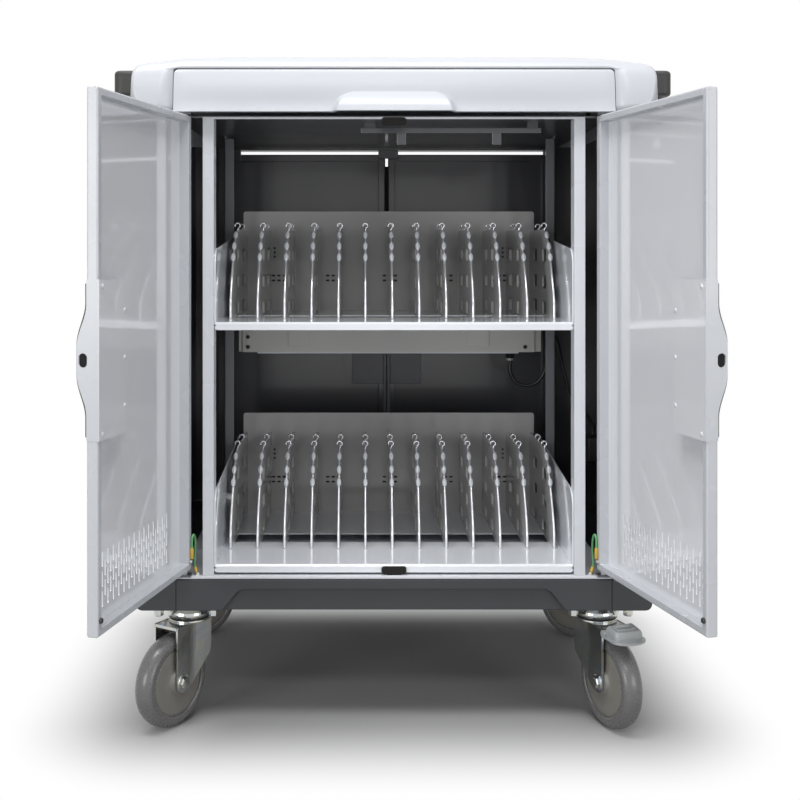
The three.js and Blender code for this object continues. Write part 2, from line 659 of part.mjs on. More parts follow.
// Fork: a crown under the race and two cheeks that flare round it, raked in front of the axle.
function casterFork() {
  const cheek = polygon([[-15, CROWN.top], [-15, 92], [20, 54], [28, 49], [44, 49], [49, 54], [49, CROWN.top]]);
  const flare = FORK_OUTER + FORK_FLARE;
  const crownPlan = polygon([[49, -FORK_OUTER], [49, FORK_OUTER], [18, FORK_OUTER], [-15, flare], [-25, 18], [-29, 8],
    [-29, -8], [-25, -18], [-15, -flare], [18, -FORK_OUTER]]);
  const pieces = [prismZ(crownPlan, CROWN.bottom, CROWN.top)];
  for (const side of [-1, 1]) {
    const wallPlan = polygon([[49, side * FORK_INNER], [18, side * FORK_INNER], [-15, side * (FORK_INNER + FORK_FLARE)],
      [-15, side * flare], [18, side * FORK_OUTER], [49, side * FORK_OUTER]]);
    pieces.push(prismZ(wallPlan, 40, CROWN.top).intersect(prismY(cheek, -40, 40)));
  }
  pieces.push(cylinderZ(28, 0, 0, CROWN.top - 1, 142, 14));
  pieces.push(cylinderY(9, TRAIL, WHEEL_RADIUS, -26, -21, 6));
  pieces.push(cylinderY(9, TRAIL, WHEEL_RADIUS, 21, 26, 6));
  pieces.push(cylinderY(6, TRAIL, WHEEL_RADIUS, -24, 24, 8));
  return joined(pieces);
}

// Wheel about its own axle, standing on one flat of its tread: hub boss, recessed disc, round tyre.
function casterWheel() {
  const half = [[6.6, 17.6], [15, 17.6], [17, 13], [47, 13], [50, 16], [62.5, 9]];
  const flat = 1 / Math.cos(Math.PI / WHEEL_SIDES);
  const left = half.map(([radius, y]) => new THREE.Vector2(radius * flat, -y));
  const right = half.map(([radius, y]) => new THREE.Vector2(radius * flat, y)).reverse();
  const geometry = new THREE.LatheGeometry([...left, ...right, left[0]], WHEEL_SIDES);
  geometry.rotateY(Math.PI / WHEEL_SIDES);
  return solidOf(geometry);
}

// Brake pedal: a pressed cover with a sunk pad, and a rounded tread round the foot of it, on a round
// hub at the trailing end of the fork crown.
const PEDAL_AXIS = { x: 56, z: 134 };

function brakePedal() {
  const hub = cylinderY(5.2, PEDAL_AXIS.x, PEDAL_AXIS.z, -25, 25, 10);
  const treadPlan = polygon([[56, -24], [82, -25], [93, -18], [98, -7], [98, 7], [93, 18], [82, 25], [56, 24]]);
  const tread = prismZ(treadPlan, 129, 132);
  const coverSide = polygon([[55, 130], [55, 140], [60, 146], [79, 143.5], [84, 139], [86, 130]]);
  const coverPlan = rounded(50, 90, -21, 21, [6, 6, 6, 6]);
  const cover = prismY(coverSide, -21, 21).intersect(prismZ(coverPlan, 120, 150));
  const pad = block(64, 76, -9, 9, 143, 150);
  return cut(joined([hub, tread, cover]), [pad]);
}

function addCaster({ name, x, y, heading, brake }) {
  const plate = new THREE.Group();
  plate.position.set(x, y, 0);
  addPiece(plate, `caster_plate_${name}`, casterPlate(), ZINC_PLATE);
  const swivel = new THREE.Group();
  swivel.rotation.z = radians(heading);
  addPiece(swivel, `caster_fork_${name}`, casterFork(), ZINC_PLATE);
  const axle = new THREE.Group();
  axle.position.set(TRAIL, 0, WHEEL_RADIUS);
  addPiece(axle, `caster_wheel_${name}`, casterWheel(), TYRE_URETHANE);
  swivel.add(axle);
  if (brake) addPiece(swivel, `brake_pedal_${name}`, brakePedal(), PEDAL_PAINT);
  plate.add(swivel);
  cart.add(plate);
}

addPiece(cart, 'base_plinth', basePlinth(), CHARCOAL_POWDER_COAT);
addPiece(cart, 'floor_panel', floorPanel(), WHITE_POWDER_COAT);
addPiece(cart, 'side_panel_left', sidePanel(-1), CHARCOAL_POWDER_COAT);
addPiece(cart, 'side_panel_right', sidePanel(1), CHARCOAL_POWDER_COAT);
addPiece(cart, 'front_frame', frontFrame(), WHITE_POWDER_COAT);
addPiece(cart, 'inner_frame', innerFrame(), DARK_POWDER_COAT);
addPiece(cart, 'hood_shell', hoodShell(), WHITE_POWDER_COAT);
addPiece(cart, 'hood_flap', hoodFlap(), WHITE_POWDER_COAT);
addPiece(cart, 'push_handle_left', pushHandle(-1), HANDLE_PLASTIC);
addPiece(cart, 'push_handle_right', pushHandle(1), HANDLE_PLASTIC);
addRack('lower', TRAY_FLOORS.lower);
addRack('upper', TRAY_FLOORS.upper);
addPiece(cart, 'power_strip', powerStrip(), GREY_POWDER_COAT);
addPiece(cart, 'power_lead', powerLead(), BLACK_PVC);
addPiece(cart, 'inlet_box', inletBox(), BLACK_PLASTIC);
const topStrike = latchStrike(CEILING - 10, CEILING - 2, CEILING - 4, CEILING - 1.8);
addPiece(cart, 'top_latch_strike', topStrike, BLACK_PLASTIC);
const bottomStrike = latchStrike(FLOOR_TOP + 2, FLOOR_TOP + 12, FLOOR_TOP + GAP, FLOOR_TOP + 4);
addPiece(cart, 'bottom_latch_strike', bottomStrike, BLACK_PLASTIC);
addFrontDoor('left', -1, LEFT_DOOR_OPEN);
addFrontDoor('right', 1, RIGHT_DOOR_OPEN);
addRearDoor('left', -1);
addRearDoor('right', 1);
CASTERS.forEach(addCaster);

// The origin is the middle of the footprint, on the floor, with the doors open as photographed.
const footprint = new THREE.Box3().setFromObject(cart);
cart.position.y = -(footprint.min.y + footprint.max.y) / 2;

export default cart;
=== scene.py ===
import json
import math
import bmesh
import bpy
import numpy as np
from mathutils.geometry import tessellate_polygon
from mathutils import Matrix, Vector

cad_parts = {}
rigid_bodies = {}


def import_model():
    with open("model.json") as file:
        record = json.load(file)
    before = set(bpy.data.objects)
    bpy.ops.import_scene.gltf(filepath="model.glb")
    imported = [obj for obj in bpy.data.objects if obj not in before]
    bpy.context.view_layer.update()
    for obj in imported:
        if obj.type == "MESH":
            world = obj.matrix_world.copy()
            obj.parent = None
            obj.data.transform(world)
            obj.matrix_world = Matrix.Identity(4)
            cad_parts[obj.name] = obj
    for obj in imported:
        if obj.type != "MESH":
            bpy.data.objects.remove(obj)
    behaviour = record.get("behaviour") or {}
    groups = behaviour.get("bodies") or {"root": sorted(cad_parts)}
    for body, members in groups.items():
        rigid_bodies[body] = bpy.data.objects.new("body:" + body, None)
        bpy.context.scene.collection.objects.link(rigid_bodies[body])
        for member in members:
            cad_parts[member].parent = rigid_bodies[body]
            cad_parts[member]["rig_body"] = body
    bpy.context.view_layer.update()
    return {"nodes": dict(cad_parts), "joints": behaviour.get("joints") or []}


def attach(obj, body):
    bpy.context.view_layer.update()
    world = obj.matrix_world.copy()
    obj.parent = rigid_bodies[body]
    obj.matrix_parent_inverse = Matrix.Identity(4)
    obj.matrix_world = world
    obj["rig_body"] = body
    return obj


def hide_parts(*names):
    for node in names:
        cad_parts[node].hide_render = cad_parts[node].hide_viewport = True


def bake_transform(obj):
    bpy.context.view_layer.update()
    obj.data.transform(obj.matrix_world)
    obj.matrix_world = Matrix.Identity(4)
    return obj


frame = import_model()


# Studio: a white sweep with one broad softbox overhead and one in front to the left, as for a
# catalogue picture. The camera stands level in front of the open doors, and its frame is
# shifted down so that the casters fit.

def linear(colour):
    """An sRGB hex colour as linear red, green, blue and alpha, by the sRGB curve."""
    s = np.array([int(colour[i:i + 2], 16) for i in (1, 3, 5)]) / 255
    rgb = np.where(s <= 0.04045, s / 12.92, ((s + 0.055) / 1.055) ** 2.4)
    return (*rgb.tolist(), 1.0)


def add_node(tree, kind, settings=None, values=None, links=None):
    """One node with its settings, its constant socket values and its incoming links."""
    node = tree.nodes.new(kind)
    for name, value in (settings or {}).items():
        setattr(node, name, value)
    for socket, value in (values or {}).items():
        node.inputs[socket].default_value = value
    for socket, output in (links or {}).items():
        tree.links.new(output, node.inputs[socket])
    return node


def mesh_of(name, points, faces, smooth=True):
    """A mesh from an array of points in metres and lists of corner numbers."""
    mesh = bpy.data.meshes.new(name)
    mesh.from_pydata(np.asarray(points, float).reshape(-1, 3).tolist(), [], [list(f) for f in faces])
    mesh.polygons.foreach_set("use_smooth", [smooth] * len(mesh.polygons))
    mesh.update()
    return mesh


bpy.context.scene.view_settings.view_transform = "Standard"

floor_paper = bpy.data.materials.new("grey studio paper, lit white away from the cart")
floor_paper.use_nodes = True
tree = floor_paper.node_tree
paper = tree.nodes["Principled BSDF"]
paper.inputs["Roughness"].default_value = 0.9
paper.inputs["Specular IOR Level"].default_value = 0.1
place = add_node(tree, "ShaderNodeTexCoord")
FIBRE_MM = 3
fibre = add_node(tree, "ShaderNodeTexNoise", values={"Scale": 1000 / FIBRE_MM, "Detail": 4},
                 links={"Vector": place.outputs["Object"]})
# Away from the cart the paper is lit up to plain white, for the camera and in reflections only.
# Near and under the cart the paper's own mid grey paints a deeper shadow.
BODY_MIDDLE, BODY_REACH, LIT_FULL = (0, 0.13, 0), (0.30, 0.20, 0), 0.24
ray = add_node(tree, "ShaderNodeLightPath")
from_middle = add_node(tree, "ShaderNodeVectorMath", {"operation": "SUBTRACT"}, {1: BODY_MIDDLE},
                       {0: place.outputs["Object"]})
across = add_node(tree, "ShaderNodeVectorMath", {"operation": "ABSOLUTE"}, links={0: from_middle.outputs[0]})
past = add_node(tree, "ShaderNodeVectorMath", {"operation": "SUBTRACT"}, {1: BODY_REACH}, {0: across.outputs[0]})
clear = add_node(tree, "ShaderNodeVectorMath", {"operation": "MAXIMUM"}, {1: (0, 0, 0)}, {0: past.outputs[0]})
away = add_node(tree, "ShaderNodeVectorMath", {"operation": "LENGTH"}, links={0: clear.outputs[0]})
lit = add_node(tree, "ShaderNodeMapRange", {"interpolation_type": "SMOOTHSTEP"}, {"From Max": LIT_FULL},
               {"Value": away.outputs["Value"]})
# Mid grey paper tone: painted shade that darkens the shadow under the cart.
paper_shadow_grey = add_node(tree, "ShaderNodeMix", {"data_type": "RGBA"},
                {6: linear("#A6A6A6"), 7: linear("#AEAEAE")}, {0: fibre.outputs["Fac"]})
tree.links.new(paper_shadow_grey.outputs[2], paper.inputs["Base Color"])
seen = add_node(tree, "ShaderNodeMath", {"operation": "ADD", "use_clamp": True},
                links={0: ray.outputs["Is Camera Ray"], 1: ray.outputs["Is Glossy Ray"]})
seen = add_node(tree, "ShaderNodeMath", {"operation": "ADD", "use_clamp": True},
                links={0: seen.outputs[0], 1: ray.outputs["Is Transmission Ray"]})
share = add_node(tree, "ShaderNodeMath", {"operation": "MULTIPLY"}, links={0: lit.outputs[0], 1: seen.outputs[0]})
glow = add_node(tree, "ShaderNodeEmission", values={"Color": linear("#FFFFFF"), "Strength": 1.0})
sheet = add_node(tree, "ShaderNodeMixShader", links={0: share.outputs[0], 1: paper.outputs[0], 2: glow.outputs[0]})
tree.links.new(sheet.outputs[0], tree.nodes["Material Output"].inputs["Surface"])

FLOOR_HALF = 12
corners = np.array([[-1, -1, 0], [1, -1, 0], [1, 1, 0], [-1, 1, 0]]) * FLOOR_HALF
floor = bpy.data.objects.new("studio_floor", mesh_of("studio_floor", corners, [(0, 1, 2, 3)]))
floor.data.materials.append(floor_paper)
bpy.context.scene.collection.objects.link(floor)

# The sweep behind reads as white to the camera and in reflections, and as a mild fill elsewhere.
SWEEP_FILL = 0.12
world = bpy.data.worlds.new("white sweep")
bpy.context.scene.world = world
world.use_nodes = True
tree = world.node_tree
ray = add_node(tree, "ShaderNodeLightPath")
seen = add_node(tree, "ShaderNodeMath", {"operation": "ADD", "use_clamp": True},
                links={0: ray.outputs["Is Camera Ray"], 1: ray.outputs["Is Glossy Ray"]})
seen = add_node(tree, "ShaderNodeMath", {"operation": "ADD", "use_clamp": True},
                links={0: seen.outputs[0], 1: ray.outputs["Is Transmission Ray"]})
strength = add_node(tree, "ShaderNodeMapRange", values={"To Min": SWEEP_FILL, "To Max": 1.0},
                    links={"Value": seen.outputs[0]})
tree.links.new(strength.outputs[0], tree.nodes["Background"].inputs["Strength"])
tree.nodes["Background"].inputs["Color"].default_value = linear("#FFFFFF")


def softbox(name, at, aim, width, height, watts):
    """A rectangular lamp at one point, facing another."""
    lamp = bpy.data.lights.new(name, "AREA")
    lamp.shape = "RECTANGLE"
    lamp.size, lamp.size_y, lamp.energy = width, height, watts
    holder = bpy.data.objects.new(name, lamp)
    facing = Vector(aim) - Vector(at)
    holder.location = at
    holder.rotation_euler = facing.to_track_quat("-Z", "Y").to_euler()
    bpy.context.scene.collection.objects.link(holder)


softbox("overhead_softbox", (0, 0.3, 4.6), (0, 0.0, 0), 5.0, 5.0, 66)
softbox("high_front_softbox", (-0.3, -1.25, 3.3), (0, -0.1, 0.4), 2.2, 0.7, 60)
softbox("mid_front_softbox", (-0.2, -3.4, 3.0), (0, 0, 0.5), 1.6, 0.5, 18)
softbox("left_front_softbox", (-2.7, -3.2, 0.9), (0, 0, 0.5), 1.6, 1.4, 46)
softbox("right_front_softbox", (2.7, -3.2, 0.9), (0, 0, 0.5), 1.6, 1.4, 31)
softbox("low_front_softbox", (0.2, -4.2, 0.6), (0, 0, 0.5), 3.2, 1.1, 5)

joints = {joint["name"]: joint for joint in frame["joints"]}
DOOR_HALF_THICKNESS = 7
FRONT_PLANE = joints["left_door_hinge"]["pos_m"][1] + DOOR_HALF_THICKNESS / 1000

CAMERA_DISTANCE, CAMERA_LEFT, CAMERA_HEIGHT = 1.562, 0.042, 0.650
camera = bpy.data.cameras.new("front_camera")
camera.sensor_width = 36
camera.lens = 51.75
camera.shift_x, camera.shift_y = 0.04615, -0.18375
camera.clip_end = 60
viewer = bpy.data.objects.new("front_camera", camera)
viewer.location = (-CAMERA_LEFT, FRONT_PLANE - CAMERA_DISTANCE, CAMERA_HEIGHT)
viewer.rotation_euler = (math.radians(90), 0, 0)
bpy.context.scene.collection.objects.link(viewer)
bpy.context.scene.camera = viewer


# Base plinth: an inverted pan of folded sheet steel with a trapezoid recess in its front and a
# seam near each corner, sprayed with a charcoal polyester powder. The casters bolt to it from below.

def powder_coat(name, colour, shade, roughness, peel_mm=1.6, depth_mm=0.02):
    """Polyester powder baked on steel: one colour that varies a little with the film's thickness,
    in patches of 90 mm, under an even orange peel. The peel is drawn coarser than the real
    0.8 mm so that it shows as a soft break-up of the reflections."""
    material = bpy.data.materials.new(name)
    material.use_nodes = True
    tree = material.node_tree
    shader = tree.nodes["Principled BSDF"]
    place = add_node(tree, "ShaderNodeTexCoord")
    film = add_node(tree, "ShaderNodeTexNoise", values={"Scale": 1000 / 90, "Detail": 3},
                    links={"Vector": place.outputs["Object"]})
    tint = add_node(tree, "ShaderNodeMix", {"data_type": "RGBA"},
                    {6: linear(colour), 7: linear(shade)}, {0: film.outputs["Fac"]})
    gloss = add_node(tree, "ShaderNodeMapRange",
                     values={"To Min": roughness - 0.05, "To Max": roughness + 0.05},
                     links={"Value": film.outputs["Fac"]})
    peel = add_node(tree, "ShaderNodeTexNoise", values={"Scale": 1000 / peel_mm, "Detail": 1},
                    links={"Vector": place.outputs["Object"]})
    bump = add_node(tree, "ShaderNodeBump", values={"Strength": 0.5, "Distance": depth_mm / 1000},
                    links={"Height": peel.outputs["Fac"]})
    tree.links.new(tint.outputs[2], shader.inputs["Base Color"])
    tree.links.new(gloss.outputs[0], shader.inputs["Roughness"])
    tree.links.new(bump.outputs[0], shader.inputs["Normal"])
    return material


def settle(name, mesh, material, body, nodes=()):
    """Puts a finished mesh in the scene as a piece that rides on a body and stands for nodes."""
    mesh.materials.clear()
    mesh.materials.append(material)
    piece = bpy.data.objects.new(name, mesh)
    bpy.context.scene.collection.objects.link(piece)
    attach(piece, body)
    if nodes:
        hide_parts(*nodes)
    return piece


def round_edges(piece, radius_mm, segments=2):
    """Rounds every edge sharper than 35 degrees."""
    bevel = piece.modifiers.new("edge rounding", "BEVEL")
    bevel.width = radius_mm / 1000
    bevel.segments = segments
    bevel.limit_method = "ANGLE"
    bevel.angle_limit = math.radians(35)
    return piece


def softened(node, material, radius_mm):
    """A copy of a CAD node with doubles merged and flat triangles joined, its edges rounded."""
    source = frame["nodes"][node]
    mesh = source.data.copy()
    shape = bmesh.new()
    shape.from_mesh(mesh)
    bmesh.ops.remove_doubles(shape, verts=shape.verts, dist=1e-6)
    bmesh.ops.dissolve_limit(shape, angle_limit=math.radians(1), verts=shape.verts, edges=shape.edges)
    shape.to_mesh(mesh)
    shape.free()
    mesh.polygons.foreach_set("use_smooth", [False] * len(mesh.polygons))
    piece = settle(node + "_coated", mesh, material, source["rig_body"], [node])
    return round_edges(piece, radius_mm)


def loft_faces(rings, around, closed=True, caps=(False, False)):
    """Quads between successive rings of points, with the ends filled where asked."""
    row, column = np.meshgrid(np.arange(rings - 1), np.arange(around if closed else around - 1), indexing="ij")
    beside = (column + 1) % around
    quads = np.stack([row * around + column, row * around + beside,
                      (row + 1) * around + beside, (row + 1) * around + column], -1).reshape(-1, 4).tolist()
    if caps[0]:
        quads.append(list(range(around))[::-1])
    if caps[1]:
        quads.append(list(range((rings - 1) * around, rings * around)))
    return quads


def to_metres(points):
    """Millimetres, with y from the plane just behind the closed doors, as metres in the row frame."""
    return np.asarray(points, float) / 1000 + np.array([0, FRONT_PLANE, 0])


def cut_away(piece, points, faces):
    """Cuts a closed form out of a piece and keeps the result as the piece's own mesh."""
    material = piece.data.materials[0]
    tool = bpy.data.objects.new("cutter", mesh_of("cutter", points, faces, False))
    bpy.context.scene.collection.objects.link(tool)
    cut = piece.modifiers.new("opening", "BOOLEAN")
    cut.object, cut.solver = tool, "EXACT"
    bpy.context.view_layer.update()
    result = bpy.data.meshes.new_from_object(piece.evaluated_get(bpy.context.evaluated_depsgraph_get()))
    result.materials.clear()
    result.materials.append(material)
    piece.modifiers.clear()
    piece.data = result
    bpy.data.objects.remove(tool)


charcoal = powder_coat("charcoal powder coat", "#323539", "#2D3033", 0.5, 2.2, 0.05)
base = softened("base_plinth", charcoal, 1.5)
SEAM_X, SEAM_HALF, BASE_FRONT = 296, 0.6, -1
for x in (-SEAM_X, SEAM_X):
    seam = np.array([[x - SEAM_HALF, -5], [x + SEAM_HALF, -5], [x + SEAM_HALF, BASE_FRONT + 1.6],
                     [x - SEAM_HALF, BASE_FRONT + 1.6]])
    seam = np.stack([np.column_stack([seam, np.full(4, z)]) for z in (150, 230)])
    cut_away(base, to_metres(seam), loft_faces(2, 4, caps=(True, True)))

recess = np.array([[-235.6, 163.5], [-212.7, 188.8], [-205.8, 192.7], [205.8, 192.7], [212.7, 188.8], [235.6, 163.5]])
recess = np.stack([np.column_stack([recess[:, 0], np.full(6, y), recess[:, 1]])
                   for y in (BASE_FRONT + 7, BASE_FRONT + 24.8)])
recess = mesh_of("base_recess_panel", to_metres(recess), loft_faces(2, 6, caps=(True, True)), False)
round_edges(settle("base_recess_panel", recess, charcoal, "cabinet"), 1.0)


# Floor panel: a white sheet with folded edges that lies on the plinth between the corner columns.

white_coat = powder_coat("white powder coat", "#DFE2E7", "#D9DCE2", 0.27)
softened("floor_panel", white_coat, 1.2)


# Side panels: on each side one sheet folded into the wall and both corner columns, in dark grey
# semi-gloss powder. Pivot brackets for the doors are welded to the columns at top and bottom.

dark_coat = powder_coat("dark grey powder coat", "#505156", "#494A4F", 0.34)
dark_coat.node_tree.nodes["Principled BSDF"].inputs["Coat Weight"].default_value = 0.5
dark_coat.node_tree.nodes["Principled BSDF"].inputs["Coat Roughness"].default_value = 0.12
softened("side_panel_left", dark_coat, 1.0)
softened("side_panel_right", dark_coat, 1.0)


# Front frame: two white angle posts and the strip across the top, screwed in behind the doors.

softened("front_frame", white_coat, 0.5)


# Inner frame: the ceiling plate with the rail of the rear doors, the posts half way back that hang
# the racks, and the latch bar that hangs under the ceiling on two brackets with two guides below
# it, all in the same dark powder. The mid posts are drawn in a lighter copy of it: painted light.

CEILING, MID_POST_Y, POST_FOOT = 833.5, 245, 212.3


def box_form(x0, x1, y0, y1, z0, z1):
    """A plain block as (points, faces)."""
    ring = np.array([[x0, y0], [x1, y0], [x1, y1], [x0, y1]])
    return (np.concatenate([np.column_stack([ring, np.full(4, z)]) for z in (z0, z1)]),
            loft_faces(2, 4, caps=(True, True)))


def assembled(parts):
    """Several (points, faces) forms as one, with the corner numbers moved on."""
    starts = np.cumsum([0] + [len(points) for points, _ in parts])
    faces = [[corner + start for corner in face] for start, (_, form) in zip(starts, parts) for face in form]
    return np.concatenate([points for points, _ in parts]), faces


ceiling = [box_form(-296.7, 296.7, 2.5, 482, CEILING, CEILING + 3)]
mid_posts = [box_form(x0, x1, MID_POST_Y, MID_POST_Y + depth, POST_FOOT, top)
             for x0, x1, depth, top in ((-260, -245, 2, CEILING - 4), (-260, -258, 26, CEILING + 1),
                                        (245, 260, 2, CEILING - 4), (258, 260, 26, CEILING + 1))]
latch_bar = [box_form(-45, 209, 58, 66, CEILING - 14.5, CEILING - 7)]
latch_bar += [box_form(x, x + 15, 59, 65, CEILING - 13.5, CEILING + 1) for x in (-40, 190)]
latch_bar += [box_form(x, x + 13, 59, 65, CEILING - 31, CEILING - 13.5) for x in (5.5, 140)]
rear_rail = [box_form(-258, 282, 440, 479, CEILING - 4.4, CEILING + 0.2),
             box_form(-15, 20, 470, 480, 817, CEILING + 0.2), box_form(-294, -258, 470, 480, 812, CEILING + 0.2),
             box_form(-296.8, -279, 462, 466, 213, CEILING + 0.2), box_form(279, 296.8, 462, 466, 213, CEILING + 0.2)]
# A lighter grey copy of the dark powder: painted light on the mid posts.
lit_post_coat = powder_coat("dark powder painted lighter on the mid posts", "#7A7B80", "#737479", 0.34)
for name, forms, coat, nodes in (("inner_frame_folded", ceiling + latch_bar + rear_rail, dark_coat, ["inner_frame"]),
                                 ("inner_frame_posts", mid_posts, lit_post_coat, [])):
    points, faces = assembled(forms)
    piece = settle(name, mesh_of(name, to_metres(points), faces, False), coat, "cabinet", nodes)
    round_edges(piece, 0.5)


# Hood: a thick moulded lid in white ABS with a semi-gloss face, open below and screwed to the
# cabinet. Its front swells out, leans back and rolls over into a flat top, and it has an opening
# for the flap.

def bend(a, b, c, count=9):
    """A quadratic curve from a to c that leaves and arrives pointing at b."""
    t = np.linspace(0, 1, count)[:, None]
    return (1 - t) ** 2 * np.array(a) + 2 * t * (1 - t) * np.array(b) + t ** 2 * np.array(c)


def rounded_ring(x0, x1, y0, y1, radius, along=12, corner=6):
    """A rounded rectangle run anticlockwise: each side in equal steps, each corner on an arc."""
    turn = np.linspace(0, np.pi / 2, corner + 1)[1:-1]
    centres = np.array([[x1 - radius, y0 + radius], [x1 - radius, y1 - radius],
                        [x0 + radius, y1 - radius], [x0 + radius, y0 + radius]])
    ring = []
    for k in range(4):
        start, quarter = centres[k - 1], -np.pi / 2 + (k - 1) * np.pi / 2
        ends = [c + radius * np.array([np.cos(a), np.sin(a)])
                for c, a in ((start, quarter + np.pi / 2), (centres[k], quarter + np.pi / 2))]
        step = np.linspace(0, 1, along + 1)[:, None]
        ring.append(ends[0] + step * (ends[1] - ends[0]))
        angle = quarter + np.pi / 2 + turn
        ring.append(centres[k] + radius * np.stack([np.cos(angle), np.sin(angle)], 1))
    return np.concatenate(ring)


def thicken(piece, thickness_mm, offset=-1):
    """Gives a sheet its thickness, inwards from its outer face."""
    wall = piece.modifiers.new("sheet", "SOLIDIFY")
    wall.thickness = thickness_mm / 1000
    wall.offset = offset
    return piece


HOOD_HALF, HOOD_FRONT, HOOD_BACK, HOOD_BOTTOM, HOOD_TOP = 358, -14, 504, 840, 918
front_roll = np.concatenate([[[0, 78], [0, 66]], bend((0, 66), (0, 32), (12, 12)), bend((12, 12), (16, 0), (32, 0))])
side_roll = np.concatenate([[[0, 78]], bend((3, 25), (4, 12), (22, 10)), bend((22, 10), (90, 0), (168, 0))])
back_roll = np.concatenate([[[0, 78], [0, 24]], bend((0, 24), (4, 0), (22, 0))])


def hood_height(x, y):
    """Height of the hood over a point: the top, less how far the front, side and back have rolled
    off at that distance from each edge, joined by a rounded maximum."""
    falls = [np.interp(distance, *roll.T) for distance, roll in
             ((y - HOOD_FRONT, front_roll), (HOOD_HALF - np.abs(x), side_roll), (HOOD_BACK - y, back_roll))]
    return HOOD_TOP - np.minimum(sum(fall ** 5 for fall in falls) ** 0.2, HOOD_TOP - HOOD_BOTTOM)


def hood_front_face(z):
    """Depth of the hood's front surface at a height: the front roll read the other way."""
    return HOOD_FRONT + np.interp(HOOD_TOP - z, front_roll[::-1, 1], front_roll[::-1, 0])


def moulded_plastic(name, colour, shade, roughness, grain_mm, depth_mm):
    """Injection moulded plastic: an even colour with faint flow shading over 150 mm, and the fine
    grain of the tool, drawn at twice its real size so that it still breaks up the highlights."""
    material = bpy.data.materials.new(name)
    material.use_nodes = True
    tree = material.node_tree
    shader = tree.nodes["Principled BSDF"]
    shader.inputs["IOR"].default_value = 1.53
    place = add_node(tree, "ShaderNodeTexCoord")
    flow = add_node(tree, "ShaderNodeTexNoise", values={"Scale": 1000 / 150, "Detail": 2, "Distortion": 0.6},
                    links={"Vector": place.outputs["Object"]})
    tint = add_node(tree, "ShaderNodeMix", {"data_type": "RGBA"},
                    {6: linear(colour), 7: linear(shade)}, {0: flow.outputs["Fac"]})
    grain = add_node(tree, "ShaderNodeTexVoronoi", values={"Scale": 1000 / grain_mm},
                     links={"Vector": place.outputs["Object"]})
    gloss = add_node(tree, "ShaderNodeMapRange", values={"To Min": roughness - 0.04, "To Max": roughness + 0.06},
                     links={"Value": grain.outputs["Distance"]})
    bump = add_node(tree, "ShaderNodeBump", values={"Strength": 0.4, "Distance": depth_mm / 1000},
                    links={"Height": grain.outputs["Distance"]})
    tree.links.new(tint.outputs[2], shader.inputs["Base Color"])
    tree.links.new(gloss.outputs[0], shader.inputs["Roughness"])
    tree.links.new(bump.outputs[0], shader.inputs["Normal"])
    return material


white_abs = moulded_plastic("white semi-gloss ABS", "#CBCED4", "#C6C9CF", 0.3, 0.9, 0.008)
insets = np.array([0, 0.01, 0.3, 0.8, 1.5, 2.2, 3, 3.4, 4, 5, 6.5, 8.5, 11, 14, 18, 22, 27, 32, 45, 65, 90, 120,
                   150, 180, 215, 250])
rings = [rounded_ring(-HOOD_HALF + d, HOOD_HALF - d, HOOD_FRONT + d, HOOD_BACK - d, min(14, 259 - d), 30, 8)
         for d in insets]
rings = np.stack(rings)
heights = hood_height(rings[..., 0], rings[..., 1])
heights[0] = HOOD_BOTTOM
points = to_metres(np.concatenate([rings, heights[..., None]], -1))
hood_mesh = mesh_of("hood_shell_moulded", points, loft_faces(len(insets), rings.shape[1], caps=(False, True)))
hood = settle("hood_shell_moulded", hood_mesh, white_abs, "cabinet", ["hood_shell"])
thicken(hood, 3.6)
FLAP_HALF, FLAP_BOTTOM, FLAP_TOP, FLAP_CORNER = 297.5, 840.5, 898.5, 6
opening = rounded_ring(-FLAP_HALF - 1, FLAP_HALF + 1, 800, FLAP_TOP + 1.5, FLAP_CORNER - 2, 2, 8)[::-1]
opening = np.stack([np.insert(opening, 1, y, axis=1) for y in (-60, 40)])
cut_away(hood, to_metres(opening), loft_faces(2, opening.shape[1], caps=(True, True)))


# Flap: the moulded front of the hood, hinged along its top edge behind the roll. It follows the
# hood's swell, and a pull lip stands out of its lower middle.

LIP_REACH, LIP_TOP, LIP_FULL = 13, 867.5, 845
FLARE_REACH, FLARE_HEIGHT = 3, 20


def flap_surface(x, z):
    """The hood's front face, flared out at its foot, less the pull lip: a ledge that falls off as a
    parabola towards its top, between sides that close in upwards, round over and ramp over 8 mm."""
    level = np.clip((z - FLAP_BOTTOM) / (LIP_TOP - FLAP_BOTTOM), 0, 1)
    lip_half = 85 - 9 * level - 20 * level ** 5
    rise = np.clip((lip_half - np.abs(x)) / 8, 0, 1)
    rise = rise * rise * (3 - 2 * rise)
    climb = 1 - np.clip((z - LIP_FULL) / (LIP_TOP - LIP_FULL), 0, 1) ** 1.8
    flare = FLARE_REACH * np.clip(1 - (z - FLAP_BOTTOM) / FLARE_HEIGHT, 0, 1) ** 2
    return hood_front_face(z) - flare - LIP_REACH * rise * climb


rows = np.unique(np.concatenate([np.linspace(FLAP_BOTTOM, LIP_TOP, 26), np.linspace(LIP_TOP, 888, 10),
                                 FLAP_TOP - FLAP_CORNER * (1 - np.sin(np.linspace(0, np.pi / 2, 9)))]))
columns = np.unique(np.concatenate([np.linspace(-1, 1, 41), np.linspace(50, 86, 37) / FLAP_HALF,
                                    -np.linspace(50, 86, 37) / FLAP_HALF]))
corner_height = np.clip(rows - FLAP_TOP + FLAP_CORNER, 0, FLAP_CORNER)
half_width = FLAP_HALF - FLAP_CORNER + np.sqrt(FLAP_CORNER ** 2 - corner_height ** 2)
x = half_width[:, None] * columns
z = rows[:, None] + 0 * columns
flap_points = to_metres(np.stack([x, flap_surface(x, z), z], -1))
flap_mesh = mesh_of("hood_flap_moulded", flap_points, loft_faces(len(rows), len(columns), closed=False))
flap = settle("hood_flap_moulded", flap_mesh, white_abs, "hood_flap", ["hood_flap"])
thicken(flap, 3.2)
round_edges(flap, 0.7)
